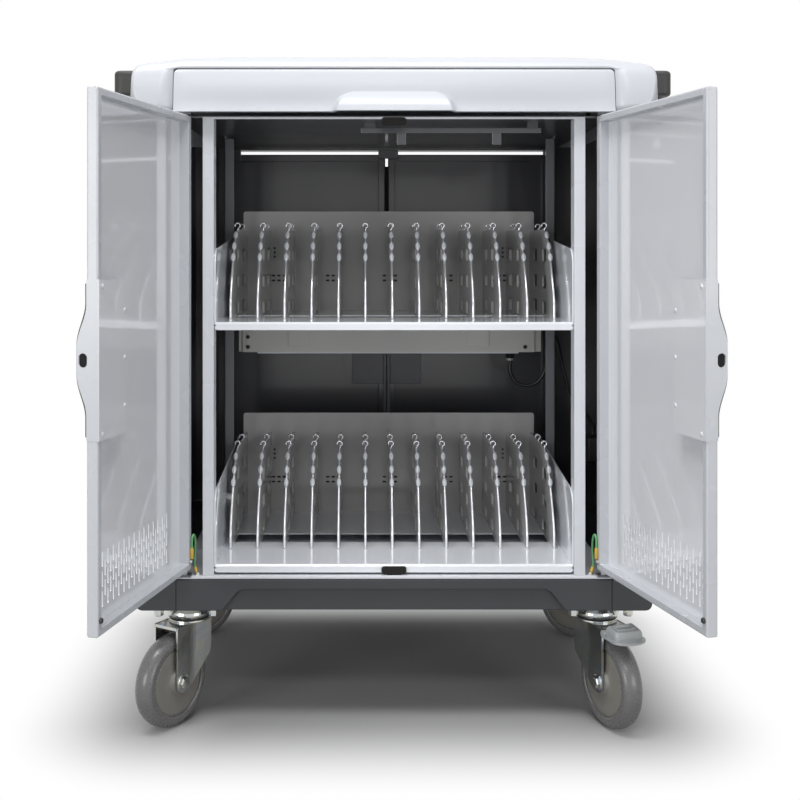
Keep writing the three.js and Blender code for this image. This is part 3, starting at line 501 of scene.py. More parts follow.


# Push handles: bowed grips of grained dark nylon on both sides of the hood, each bolted through
# the lid at its two ends. A fine parting line runs below a paler top band, a painted highlight where the grips face up.

def swept(path, section, up):
    """A closed section carried along a path: section u goes across the path, and v goes up."""
    tangent = np.gradient(path, axis=0)
    tangent /= np.linalg.norm(tangent, axis=1, keepdims=True)
    across = np.cross(tangent, up)
    across /= np.linalg.norm(across, axis=1, keepdims=True)
    risen = np.cross(across, tangent)
    turned = section[::-1]
    return path[:, None] + turned[None, :, :1] * across[:, None] + turned[None, :, 1:] * risen[:, None]


def grained_nylon():
    """Glass-filled nylon from a spark-eroded tool: dark grey, with a paler band painted on top above
    z = 902 mm as a highlight, and a 1 mm parting line under it."""
    material = moulded_plastic("grained dark nylon", "#292B28", "#242523", 0.5, 1.4, 0.06)
    tree = material.node_tree
    shader = tree.nodes["Principled BSDF"]
    body_tint = shader.inputs["Base Color"].links[0].from_socket
    place = add_node(tree, "ShaderNodeTexCoord")
    axes = add_node(tree, "ShaderNodeSeparateXYZ", links={0: place.outputs["Object"]})
    # Painted highlight: the colour on top of the grip is multiplied up to 1.75.
    top_highlight_band = add_node(tree, "ShaderNodeMapRange", values={"From Min": 0.896, "From Max": 0.910},
                     links={"Value": axes.outputs["Z"]})
    ramp = add_node(tree, "ShaderNodeValToRGB", {}, links={0: top_highlight_band.outputs[0]})
    ramp.color_ramp.interpolation = "LINEAR"
    stops = ramp.color_ramp.elements
    stops[0].position, stops[0].color = 0.30, (1, 1, 1, 1)
    stops[1].position, stops[1].color = 0.62, (1.75, 1.75, 1.7, 1)
    for position, level in ((0.36, 0.45), (0.42, 0.45), (0.47, 1.55)):
        stops.new(position).color = (level, level, level, 1)
    tint = add_node(tree, "ShaderNodeMix", {"data_type": "RGBA", "blend_type": "MULTIPLY"},
                    {0: 1.0}, {6: body_tint, 7: ramp.outputs[0]})
    tree.links.new(tint.outputs[2], shader.inputs["Base Color"])
    return material


nylon = grained_nylon()
GRIP_BOTTOM, GRIP_TOP, GRIP_HALF_WIDTH = 872, 908, 6.5
grip_section = rounded_ring(-GRIP_HALF_WIDTH, GRIP_HALF_WIDTH, -18, 18, 5, 3, 6)
for side, name in ((-1, "left"), (1, "right")):
    front_bend = np.concatenate([[[346, 66.5], [360, 66.5]], bend((381, 66.5), (388.5, 66.5), (388.5, 74), 8)])
    plan = np.concatenate([front_bend, [[388.5, y] for y in (130, 190, 250, 310, 370)],
                           front_bend[::-1] * [1, -1] + [0, 500]])
    path = np.column_stack([side * plan[:, 0], plan[:, 1], np.full(len(plan), (GRIP_BOTTOM + GRIP_TOP) / 2)])
    grip = swept(path, grip_section, np.array([0, 0, 1.0]))
    faces = loft_faces(len(path), len(grip_section), caps=(True, True))
    mesh = mesh_of(f"push_handle_{name}_moulded", to_metres(grip), faces)
    settle(f"push_handle_{name}_moulded", mesh, nylon, "cabinet", [f"push_handle_{name}"])


# Racks: two trays of folded sheet in pale grey gloss powder, screwed to the posts at their four
# corners. Each has a hemmed front lip, raked side walls, a back panel with groups of tie slots,
# and a cable window behind the foot of every bay.

def flat_sheet(outline, holes, thickness):
    """A flat sheet with holes: both faces filled with triangles, and a wall round every edge.
    Points are (u, v, w), with w from 0 to the thickness."""
    def wound(loop, sign):
        """The loop run anticlockwise for sign 1 and clockwise for -1, by its signed area."""
        u, v = np.asarray(loop, float).T
        area = np.sum(u * np.roll(v, -1) - v * np.roll(u, -1))
        return np.asarray(loop, float)[::1 if area * sign > 0 else -1]

    loops = [wound(outline, 1)] + [wound(hole, -1) for hole in holes]
    flat = np.concatenate(loops)
    count = len(flat)
    fill = np.array(tessellate_polygon([[(u, v, 0) for u, v in loop] for loop in loops]))
    a, b, c = (flat[fill[:, k]] for k in range(3))
    area = (b[:, 0] - a[:, 0]) * (c[:, 1] - a[:, 1]) - (b[:, 1] - a[:, 1]) * (c[:, 0] - a[:, 0])
    fill = fill[np.abs(area) > 1e-9]
    area = area[np.abs(area) > 1e-9]
    fill[area < 0] = fill[area < 0][:, ::-1]
    start = np.repeat(np.cumsum([0] + [len(loop) for loop in loops[:-1]]), [len(loop) for loop in loops])
    size = np.repeat([len(loop) for loop in loops], [len(loop) for loop in loops])
    here = np.arange(count)
    there = start + (here - start + 1) % size
    walls = np.stack([here, there, there + count, here + count], 1)
    points = np.concatenate([np.column_stack([flat, np.full(count, w)]) for w in (0, thickness)])
    return points, (fill + count).tolist() + fill[:, ::-1].tolist() + walls.tolist()


def lofted(rings, caps=(True, True)):
    """A (points, faces) form from an array of closed rings."""
    return rings.reshape(-1, 3), loft_faces(len(rings), rings.shape[1], caps=caps)


def through(points, per_span):
    """A smooth curve through points, by cubic spans whose slope at a point is half the way between
    its neighbours."""
    p = np.asarray(points, float)
    ends = np.concatenate([[2 * p[0] - p[1]], p, [2 * p[-1] - p[-2]]])
    t = np.linspace(0, 1, per_span, endpoint=False)[None, :, None]
    a, b, c, d = (ends[k:len(ends) - 3 + k][:, None] for k in range(4))
    spans = 0.5 * (2 * b + (c - a) * t + (2 * a - 5 * b + 4 * c - d) * t ** 2 + (3 * b - a - 3 * c + d) * t ** 3)
    return np.concatenate([spans.reshape(-1, p.shape[1]), p[-1:]])


gloss_coat = powder_coat("white gloss powder coat, trays", "#EEF1F6", "#E8EBF1", 0.12, 2.0, 0.004)
gloss_coat.node_tree.nodes["Principled BSDF"].inputs["Coat Weight"].default_value = 0.6
# A darker, warmer copy of the tray coat: painted shade on the back panels and divider plates, deep in the racks.
shaded_tray_coat = powder_coat("tray gloss powder painted darker as shade", "#CFCDCC", "#C8C6C5", 0.12, 2.0, 0.004)
TRAY_HALF, TRAY_FRONT, TRAY_BACK, TRAY_SHEET = 244.7, 4, 324, 2
TRAY_FLOORS = {"lower": 226, "upper": 556}
BAY_PITCH, BAYS = 38.7, 12
LIP_DEPTH, LIP_FOLD = 11, 3.5
bay_middles = (np.arange(BAYS) - (BAYS - 1) / 2) * BAY_PITCH


def tray_lip(floor_top):
    """The folded front: an L section with a rounded fold, carried along x, whose lower edge rises
    on a quarter circle of 5 mm at both ends."""
    ease = np.linspace(0, np.pi / 2, 7)
    end_rise = 5 * (1 - np.cos(ease))
    end_x = TRAY_HALF - 5 * (1 - np.sin(ease))
    x = np.concatenate([-end_x[::-1], end_x])
    rise = np.concatenate([end_rise[::-1], end_rise])
    turn = np.linspace(np.pi / 2, np.pi, 6)
    outer = np.column_stack([TRAY_FRONT + LIP_FOLD + LIP_FOLD * np.cos(turn),
                             floor_top - LIP_FOLD + LIP_FOLD * np.sin(turn)])
    inner_fold = LIP_FOLD - TRAY_SHEET
    inner = np.column_stack([TRAY_FRONT + LIP_FOLD + inner_fold * np.cos(turn[::-1]),
                             floor_top - LIP_FOLD + inner_fold * np.sin(turn[::-1])])
    foot = floor_top - LIP_DEPTH
    section = np.concatenate([[[22, floor_top]], outer, [[TRAY_FRONT, foot], [TRAY_FRONT + TRAY_SHEET, foot]],
                              inner, [[22, floor_top - TRAY_SHEET]]])
    rings = np.zeros((len(x), len(section), 3))
    rings[..., 0] = x[:, None]
    rings[..., 1:] = section
    rings[..., 2] = np.maximum(rings[..., 2], foot + rise[:, None])
    return lofted(rings)


def tray_form(floor_top):
    """Lip, floor with cable windows and raked walls of one tray."""
    windows = [rounded_ring(x - 17.6, x + 17.6, 125, 178, 2, 1, 4) for x in bay_middles]
    floor_outline = [[-TRAY_HALF, 22], [TRAY_HALF, 22], [TRAY_HALF, TRAY_BACK], [-TRAY_HALF, TRAY_BACK]]
    points, faces = flat_sheet(floor_outline, windows, TRAY_SHEET)
    parts = [tray_lip(floor_top), (points + [0, 0, floor_top - TRAY_SHEET], faces)]
    shoulder = bend((TRAY_FRONT, 76), (TRAY_FRONT, 98), (TRAY_FRONT + 24, 101), 12)
    wall = np.concatenate([[[TRAY_FRONT, -LIP_DEPTH + 5], [TRAY_FRONT + 4, -LIP_DEPTH]],
                           [[TRAY_BACK, -LIP_DEPTH], [TRAY_BACK, 127]], shoulder[::-1]])
    points, faces = flat_sheet(wall, [], TRAY_SHEET)
    for x in (-TRAY_HALF, TRAY_HALF - TRAY_SHEET):
        parts.append((points[:, [2, 0, 1]] + [x, 0, floor_top], faces))
    return assembled(parts)


def back_panel(floor_top):
    """The upright sheet behind a tray, with rows of tie slots and two groups of small holes."""
    panel = rounded_ring(-238, 238, -TRAY_SHEET, 162, 4, 4, 5)
    slots = [rounded_ring(group + k * 9 - 3, group + k * 9 + 3, row - 1.6, row + 1.6, 1.5, 1, 3)
             for group in (-180, -91, 2, 93, 181) for row in (49, 57) for k in (-1, 0, 1)]
    slots += [rounded_ring(x - 1.7, x + 1.7, row - 1.7, row + 1.7, 0.8, 1, 2)
              for x in (-194, -187, 187, 194) for row in (88, 95, 102)]
    points, faces = flat_sheet(panel, slots, TRAY_SHEET)
    return np.column_stack([points[:, 0], TRAY_BACK + TRAY_SHEET - points[:, 2], points[:, 1] + floor_top]), faces


for tray, floor_top in TRAY_FLOORS.items():
    points, faces = tray_form(floor_top)
    mesh = mesh_of(f"{tray}_tray_folded", to_metres(points), faces, False)
    settle(f"{tray}_tray_folded", mesh, gloss_coat, "cabinet", [f"{tray}_tray"])
    # The back panel is drawn in the darker copy of the tray coat, as painted shade.
    points, faces = back_panel(floor_top)
    mesh = mesh_of(f"{tray}_tray_back_panel", to_metres(points), faces, False)
    settle(f"{tray}_tray_back_panel", mesh, shaded_tray_coat, "cabinet")


# Dividers: thirteen thin plates on each tray, spot welded through their feet and slotted into the
# back panel. Each has a raked front edge with three twisted cable tabs, six windows that let the
# warm air across, and two curled hooks on its top edge.

DIVIDER_SHEET, DIVIDER_TOP = 3.0, 130
front_edge = through([[87.5, 0], [88.5, 22], [100, 47], [118, 75], [138, 103], [156, 119], [186, DIVIDER_TOP]], 10)
TAB_HEIGHTS = (84.5, 103, 118)
TAB_HALF_WIDTH, TAB_HALF_LENGTH = 3.3, 6.4
WINDOW_HEIGHTS, WINDOW_DEPTHS = (91, 51, 12), (171, 262)


def divider_plate():
    """The flat plate in (y, z), with its windows, as a sheet across x."""
    outline = np.concatenate([front_edge, [[TRAY_BACK - 0.3, DIVIDER_TOP], [TRAY_BACK - 0.3, 0]]])
    windows = [rounded_ring(y - 18, y + 18, z - 9.4, z + 9.4, 4, 1, 5) for z in WINDOW_HEIGHTS for y in WINDOW_DEPTHS]
    points, faces = flat_sheet(outline, windows, DIVIDER_SHEET)
    return points[:, [2, 0, 1]] - [DIVIDER_SHEET / 2, 0, 0], faces


def cable_tab(height):
    """A leaf twisted to face forwards: rings along the edge whose half width follows an ellipse,
    bowed towards the front."""
    at = np.searchsorted(front_edge[:, 1], height)
    along = front_edge[at + 1] - front_edge[at - 1]
    along = np.array([0, *along]) / np.linalg.norm(along) + [0, 0, 0.7]
    along = along / np.linalg.norm(along)
    outward = np.array([0, -along[2], along[1]])
    b = np.linspace(-0.97, 0.97, 9)
    a = np.linspace(-1, 1, 7)
    half = TAB_HALF_WIDTH * np.sqrt(1 - b ** 2)[:, None]
    across = np.concatenate([half * a, half * a[::-1]], 1)
    bow = 1.6 * (1 - a ** 2)
    depth = np.concatenate([bow + 0.7, bow[::-1] - 0.7])
    centre = np.array([0, *front_edge[at]]) + 2.2 * outward
    rings = centre + b[:, None, None] * TAB_HALF_LENGTH * along + depth[None, :, None] * outward
    rings = rings + across[..., None] * np.array([1.0, 0, 0])
    return lofted(rings)


def curled_hook(middle_y):
    """A strip 8 mm wide that rises from the top edge and is rolled to the right, over and back
    down on the left, into an open ring of 3.7 mm radius. Its thickness stands square to its path."""
    turn = np.radians(np.linspace(-80, 205, 22))
    path = np.concatenate([[[0.2, -11], [0.2, -7.2], [0.7, -4.8]], 3.7 * np.column_stack([np.cos(turn), np.sin(turn)])])
    path = path + [0, DIVIDER_TOP + 5.3]
    tangent = np.gradient(path, axis=0)
    square = np.column_stack([tangent[:, 1], -tangent[:, 0]]) / np.linalg.norm(tangent, axis=1)[:, None]
    corners = [(path + 0.85 * square, -4), (path + 0.85 * square, 4), (path - 0.85 * square, 4), (path - 0.85 * square, -4)]
    rings = np.stack([np.column_stack([side[:, 0], np.full(len(side), middle_y + y), side[:, 1]]) for side, y in corners], 1)
    return lofted(rings)


def front_bead():
    """The rounded front edge: a half round of 1.6 mm radius carried up the edge, flattened to 1 mm."""
    step = np.gradient(front_edge, axis=0)
    outward = np.column_stack([-step[:, 1], step[:, 0]]) / np.linalg.norm(step, axis=1)[:, None]
    turn = np.linspace(0, -2 * np.pi, 10, endpoint=False)
    rings = np.zeros((len(front_edge), len(turn), 3))
    rings[..., 0] = 1.6 * np.cos(turn)
    rings[..., 1:] = front_edge[:, None] + 1.0 * np.sin(turn)[None, :, None] * outward[:, None]
    return lofted(rings)


# Bright, half metallic coat on the divider edges and hooks: painted highlights that keep them bright in the racks'
# shade.
highlight_edge_coat = powder_coat("half metallic edge coat for painted highlights", "#F1F3F6", "#ECEEF2", 0.2, 2.0, 0.004)
highlight_edge_coat.node_tree.nodes["Principled BSDF"].inputs["Metallic"].default_value = 0.55
plate = divider_plate()
bead = assembled([front_bead(), curled_hook(182), curled_hook(244)])
tabs = assembled(list(map(cable_tab, TAB_HEIGHTS)))
divider_places = (np.arange(BAYS + 1) - BAYS / 2) * BAY_PITCH
# The divider plates take the darker copy of the tray coat, as painted shade.
for tray, floor_top in TRAY_FLOORS.items():
    loose = [f"{tray}_divider_{number:02d}" for number in range(1, 11)]
    for part, (points, faces), coat, nodes in (("punched", plate, shaded_tray_coat, loose), ("edges", bead, highlight_edge_coat, []),
                                               ("tabs", tabs, gloss_coat, [])):
        points, faces = assembled([(points + [x, 0, floor_top + 0.05], faces) for x in divider_places])
        mesh = mesh_of(f"{tray}_dividers_{part}", to_metres(points), faces, part != "punched")
        settle(f"{tray}_dividers_{part}", mesh, coat, "cabinet", nodes)


# Power strip: a grey folded steel channel on two hangers behind the upper tray, with eight black
# sockets in its rear face and a gland for its lead underneath.

def turned(profile, sides, centre=(0, 0, 0), axis=(0, 0, 1)):
    """A profile of (radius, height) spun about an axis: rings of equal steps round it."""
    axis = np.asarray(axis, float) / np.linalg.norm(axis)
    first = np.cross(axis, [0, 0, 1.0] if abs(axis[2]) < 0.9 else [0, 1.0, 0])
    first /= np.linalg.norm(first)
    second = np.cross(axis, first)
    angle = np.arange(sides) * 2 * np.pi / sides
    spoke = np.cos(angle)[:, None] * first + np.sin(angle)[:, None] * second
    radius, height = np.asarray(profile, float).T
    return np.asarray(centre) + radius[:, None, None] * spoke + height[:, None, None] * axis


strip_paint = powder_coat("light grey powder coat", "#E0E1DC", "#D8D9D4", 0.35)
softened("power_strip", strip_paint, 1.0)
EAR_FRONT = 333
ears = [box_form(x0, x1, EAR_FRONT, EAR_FRONT + 2, 487.5, 540) for x0, x1 in ((-246.5, -239.5), (239.5, 251))]
points, faces = assembled(ears)
settle("strip_ears", mesh_of("strip_ears", to_metres(points), faces, False), strip_paint, "cabinet")
points, faces = box_form(-216, 214, EAR_FRONT + 0.2, EAR_FRONT + 4, 484.6, 486.9)
settle("strip_bottom_lip", mesh_of("strip_bottom_lip", to_metres(points), faces, False), gloss_coat, "cabinet")

socket_black = moulded_plastic("black nylon", "#2E2C2B", "#272524", 0.45, 1.2, 0.03)
STRIP_BACK, SOCKET_BOTTOM, SOCKET_TOP, SOCKET_PITCH = 376, 495, 525, 54
socket_rows = []
for number in range(8):
    x = (number - 3.5) * SOCKET_PITCH
    rim = rounded_ring(x - 17, x + 17, SOCKET_BOTTOM, SOCKET_TOP, 4, 2, 5)
    well = rounded_ring(x - 13, x + 13, SOCKET_BOTTOM + 4, SOCKET_TOP - 4, 6, 2, 5)
    levels = [(rim, 0.05), (rim, 1.6), (well * 0.5 + rim * 0.5, 2.2), (well, 1.8), (well, 0.4)]
    rings = np.stack([np.column_stack([-ring[:, 0] + 2 * x, np.full(len(ring), STRIP_BACK + y), ring[:, 1]])
                      for ring, y in levels])
    socket_rows.append(lofted(rings))
    for prong in (-6, 6):
        slot = rounded_ring(x + prong - 1.2, x + prong + 1.2, 506, 516, 1, 1, 3)
        rings = np.stack([np.column_stack([-slot[:, 0] + 2 * x, np.full(len(slot), STRIP_BACK + y), slot[:, 1]])
                          for y in (0.4, 0.9)])
        socket_rows.append(lofted(rings))
points, faces = assembled(socket_rows)
settle("strip_sockets", mesh_of("strip_sockets", to_metres(points), faces, False), socket_black,
       "cabinet")

screw = [(3.2, 0), (3.2, 0.6), (2.2, 1.6), (0, 2.0)]
heads = [turned(screw, 12, (x, 326.2, z), (0, -1, 0)) for x, z in ((-231, 512), (-231, 495.7), (224, 495.7))]
points, faces = assembled([(head.reshape(-1, 3), loft_faces(len(screw), 12)) for head in heads])
settle("strip_screws", mesh_of("strip_screws", to_metres(points), faces, False), socket_black, "cabinet")

gland_profile = [(0, -20.1), (4.6, -20.1), (5.2, -19), (5.8, -12), (6.6, -11.5), (7.4, -4), (9.5, -3.4), (9.5, -0.2),
                 (0, -0.2)]
gland = turned(gland_profile, 24, (202, 350, 487))
settle("strip_gland", mesh_of("strip_gland", to_metres(gland), loft_faces(len(gland), 24)), socket_black,
       "cabinet")


# Inlet box: a black moulded box screwed to the right side wall, where the lead goes in.

softened("inlet_box", socket_black, 2.0)


# Lead: 6 mm round black PVC, 0.36 m of it, from the gland of the strip, up in a loop beside the
# post and down into the top of the inlet box.

def lead_pvc():
    """Extruded black PVC: smooth, with a soft sheen and faint draw marks 4 mm apart along it."""
    material = moulded_plastic("black PVC", "#232325", "#1D1D1F", 0.38, 4.0, 0.02)
    material.node_tree.nodes["Principled BSDF"].inputs["Sheen Weight"].default_value = 0.1
    return material


LEAD_RADIUS = 3
lead_route = [[202, 350, 466.7], [203, 350, 452], [211, 350, 437], [226, 350, 430], [243, 349, 433],
              [255, 347, 445], [261, 344, 463], [264, 340, 483], [266, 332, 502], [268, 318, 514],
              [270, 302, 514], [272, 289, 502], [275, 282, 482], [280, 280, 458], [287, 281, 434],
              [297, 286, 414], [310, 294, 399], [322, 300, 385], [330, 304, 370], [331, 305, 353.6]]
lead_path = through(lead_route, 6)
step = np.gradient(lead_path, axis=0)
step /= np.linalg.norm(step, axis=1, keepdims=True)
beside = np.cross(step, [0.2, 1.0, 0.1])
beside /= np.linalg.norm(beside, axis=1, keepdims=True)
above = np.cross(beside, step)
angle = np.arange(14) * 2 * np.pi / 14
lead_rings = (lead_path[:, None] + LEAD_RADIUS * np.cos(-angle)[None, :, None] * beside[:, None]
              + LEAD_RADIUS * np.sin(-angle)[None, :, None] * above[:, None])
points, faces = lofted(lead_rings)
lead = settle("power_lead_pvc", mesh_of("power_lead_pvc", to_metres(points), faces), lead_pvc(), "cabinet",
              ["power_lead"])


# Latch strikes: black nylon blocks with round ends, screwed under the ceiling and on the floor
# where the rods of the front doors latch. The upper one stands proud of the strip behind it.

strike_black = moulded_plastic("black nylon strike", "#1C1A19", "#171514", 0.5, 1.2, 0.03)
strike_black.node_tree.nodes["Principled BSDF"].inputs["Specular IOR Level"].default_value = 0.2
softened("bottom_latch_strike", strike_black, 1.2)
softened("top_latch_strike", strike_black, 1.2)
oval = rounded_ring(-17, 17, 825.4, 834.6, 4.4, 2, 6)[::-1]
cap = np.stack([np.column_stack([oval[:, 0], np.full(len(oval), y), oval[:, 1]]) for y in (0.2, 3.0)])
cap = mesh_of("top_latch_strike_cap", to_metres(cap), loft_faces(2, len(oval), caps=(True, True)), False)
settle("top_latch_strike_cap", cap, strike_black, "cabinet")


# Front doors: white pans of folded sheet that turn on pins in the pivot brackets. Each has an
# inner lip all round, columns of vent slots punched low in its skin, a corner brace and a
# rubber buffer.

DOOR_Z0, DOOR_Z1, DOOR_U0, DOOR_U1, DOOR_SHEET = 221, 836, -7, 280.6, 1.2


def hung(points, faces, pivot, inward, outward, degrees):
    """Places a form drawn on a door: u from the pivot to the free edge, v out of the door's inner
    face, and z up. A mirrored door has its faces turned round, and the door swings by degrees."""
    u, v, z = np.asarray(points, float).reshape(-1, 3).T
    x, y = inward * u, -outward * v
    c, s = math.cos(math.radians(degrees)), math.sin(math.radians(degrees))
    placed = np.column_stack([pivot[0] + c * x - s * y, pivot[1] + s * x + c * y, z])
    return placed, [face[::-1] for face in faces] if inward * outward > 0 else faces


def vent_slots():
    """Outlines of the slots in (u, z): columns 7.4 mm apart of three and of two in turn."""
    return [rounded_ring(50 + 7.4 * column - 1.4, 50 + 7.4 * column + 1.4, z - 9.25, z + 9.25, 1.3, 1, 3)
            for column in range(28)
            for z in (276 + 23 * (np.arange(3 - column % 2) - (2 - column % 2) / 2))]


def door_folds(hinge_lip, lip, top):
    """The folds of the pan: a box section carried round the door's rectangle, each point of the section
    being a rectangle drawn in by its own amount. The hinge pins are welded into them."""
    section = [(2.2, 2.2, -7), (1.1, 1.1, -6.7), (0.3, 0.3, -5.9), (0, 0, -4.8), (0, 0, 4.8), (0.3, 0.3, 5.9),
               (1.1, 1.1, 6.7), (2.2, 2.2, 7), (lip - 0.4, hinge_lip - 0.4, 7), (lip, hinge_lip, 6.6),
               (lip, hinge_lip, -5.75), (2.2, 2.2, -5.75), (2.2, 2.2, -7)]
    rings = []
    for inset, hinge_inset, v in section:
        ring = rounded_ring(DOOR_U0 + hinge_inset, DOOR_U1 - inset, DOOR_Z0 + inset, top - inset, 1.2, 1, 3)
        rings.append(np.column_stack([ring[:, 0], np.full(len(ring), v), ring[:, 1]]))
    rings = np.stack(rings)
    frame_form = (rings.reshape(-1, 3), [face[::-1] for face in loft_faces(len(rings), rings.shape[1])])
    pins = [turned([(0, z0), (3.5, z0), (3.5, z1), (0, z1)], 16) for z0, z1 in ((213.2, 221.5), (top - 0.5, 839.2))]
    return assembled([frame_form, *((pin.reshape(-1, 3), loft_faces(4, 16)) for pin in pins)])


def door_skin(slots, top):
    """The pan's flat face, with its slots, out to where the fold begins."""
    skin = rounded_ring(DOOR_U0 + 2.2, DOOR_U1 - 2.2, DOOR_Z0 + 2.2, top - 2.2, 1.2, 1, 3)
    points, faces = flat_sheet(skin, slots, DOOR_SHEET)
    return np.column_stack([points[:, 0], -7 + points[:, 2], points[:, 1]]), [face[::-1] for face in faces]


def corner_braces():
    """Small triangular shelves welded into the two free corners of the pan."""
    points, faces = flat_sheet([[252, -5.8], [279, -5.8], [279, 5.4]], [], 1.5)
    return assembled([(points + [0, 0, z], faces) for z in (247, 823)])


# A darker copy of the doors' white powder on the folds and lock end plates: painted shade, against the brighter gloss
# white of the skins.
shaded_door_coat = powder_coat("door white painted darker as shade on folds", "#CED1D6", "#C9CCD1", 0.27)
gloss_white = powder_coat("white gloss powder coat", "#EDEFF3", "#E7E9EE", 0.08, 2.0, 0.004)
gloss_white.node_tree.nodes["Principled BSDF"].inputs["Coat Weight"].default_value = 0.7
FRONT_DOORS = {"left": (-1, -102.5), "right": (1, 103.3)}
for name, (side, swing) in FRONT_DOORS.items():
    pivot = (side * 283, -7)
    form = hung(*assembled([door_folds(11, 9, DOOR_Z1), corner_braces()]), pivot, -side, -1, swing)
    mesh = mesh_of(f"{name}_door_folds", to_metres(form[0]), form[1], False)
    settle(f"{name}_door_folds", mesh, shaded_door_coat, f"{name}_door", [f"{name}_door"])
    form = hung(*door_skin(vent_slots(), DOOR_Z1), pivot, -side, -1, swing)
    mesh = mesh_of(f"{name}_door_skin", to_metres(form[0]), form[1], False)
    settle(f"{name}_door_skin", mesh, gloss_white, f"{name}_door")
    buffer = turned([(0, 7.0), (3.2, 7.0), (3.4, 8.5), (2.8, 9.6), (0, 9.8)], 16, (275, 0, 239), (0, 1, 0))
    form = hung(buffer, loft_faces(5, 16), pivot, -side, -1, swing)
    mesh = mesh_of(f"{name}_door_buffer", to_metres(form[0]), form[1])
    settle(f"{name}_door_buffer", mesh, socket_black, f"{name}_door")


# Lock brackets: white angles screwed to the free edge of each front door. The end plate stands
# out of the door face in a bell with a hole for a padlock, and the inner plate has five screws.

LOCK_CENTRE, LOCK_HALF = 530, 90


def bell(z, base, rise, start, ramp):
    """Distance out of the door along the lock: base, plus a rise eased in over the ramp."""
    t = np.clip((start - np.abs(z - LOCK_CENTRE)) / ramp, 0, 1)
    return base - rise * t * t * (3 - 2 * t)


bell_z = np.linspace(LOCK_CENTRE - 66, LOCK_CENTRE + 66, 45)


def lock_bracket():
    """End plate in (v, z) across u, with its hole, and the inner plate with rounded corners."""
    outline = np.concatenate([[[8.6, LOCK_CENTRE - LOCK_HALF], [8.6, LOCK_CENTRE + LOCK_HALF],
                               [-7, LOCK_CENTRE + LOCK_HALF]],
                              np.column_stack([bell(bell_z, -7, 11.5, 62, 46), bell_z])[::-1],
                              [[-7, LOCK_CENTRE - LOCK_HALF]]])
    hole = rounded_ring(-16.4, -6.2, LOCK_CENTRE - 7.9, LOCK_CENTRE + 7.9, 4.6, 1, 7)
    points, faces = flat_sheet(outline, [hole], 2.2)
    end_plate = (points[:, [2, 0, 1]] + [278.8, 0, 0], faces)
    plate = rounded_ring(208, 280.5, LOCK_CENTRE - LOCK_HALF, LOCK_CENTRE + LOCK_HALF, 3, 1, 4)
    points, faces = flat_sheet(plate, [], 1.6)
    inner_plate = (np.column_stack([points[:, 0], 7.05 + points[:, 2], points[:, 1]]), [f[::-1] for f in faces])
    return end_plate, inner_plate


SCREWS = [(272, 613), (272, 447), (213, 583), (213, 528), (213, 472)]
SCREW_HEAD = [(0, 8.5), (2.8, 8.5), (2.8, 8.9), (2.1, 9.5), (1.0, 9.8), (0, 9.8)]
end_plate, inner_plate = lock_bracket()
for name, (side, swing) in FRONT_DOORS.items():
    pivot = (side * 283, -7)
    heads = [turned(SCREW_HEAD, 16, (u, 0, z), (0, 1, 0)) for u, z in SCREWS]
    screws = [(head.reshape(-1, 3), loft_faces(len(SCREW_HEAD), 16)) for head in heads]
    # The end plate is drawn in the darker door white, as painted shade.
    form = hung(*end_plate, pivot, -side, -1, swing)
    mesh = mesh_of(f"{name}_lock_bracket_end", to_metres(form[0]), form[1], False)
    settle(f"{name}_lock_bracket_end", mesh, shaded_door_coat, f"{name}_door", [f"{name}_lock_bracket"])
    form = hung(*assembled([inner_plate, *screws]), pivot, -side, -1, swing)
    mesh = mesh_of(f"{name}_lock_bracket_plate", to_metres(form[0]), form[1], False)
    settle(f"{name}_lock_bracket_plate", mesh, gloss_white, f"{name}_door")


# Handle trims: dark bent straps screwed to the doors outside the lock brackets. Two flat feet sit
# on the door face, and the arch between them follows the bell of the end plate as a grip.

def handle_trim():
    """The strap's edge in (v, z): the arch inside, the feet, and the arch outside, 25 mm wide."""
    low, high, face, foot = LOCK_CENTRE - 86, LOCK_CENTRE + 86, -7.3, -9.5
    inside = np.column_stack([bell(bell_z, face, 10.6, 60, 46), bell_z])
    outside = np.column_stack([bell(bell_z, foot, 10.6, 64, 46), bell_z])
    outline = np.concatenate([[[face, low]], inside, [[face, high], [foot, high]], outside[::-1], [[foot, low]]])
    points, faces = flat_sheet(outline, [], 25)
    return points[:, [2, 0, 1]] + [253.4, 0, 0], faces


trim_nylon = moulded_plastic("dark grained nylon strap", "#4A4B46", "#42433F", 0.5, 1.4, 0.05)
for name, (side, swing) in FRONT_DOORS.items():
    form = hung(*handle_trim(), (side * 283, -7), -side, -1, swing)
    mesh = mesh_of(f"{name}_handle_trim_moulded", to_metres(form[0]), form[1], False)
    trim = settle(f"{name}_handle_trim_moulded", mesh, trim_nylon, f"{name}_door",
                  [f"{name}_handle_trim"])


# Rear doors: pans in dark grey powder like the front ones, but without slots and lower at the top,
# where a slit of daylight stays open. A lip in the same dark grey powder on each free edge closes the
# gap between them nearly to the top.

REAR_TOP, SEAL_TOP = 825.5, 804
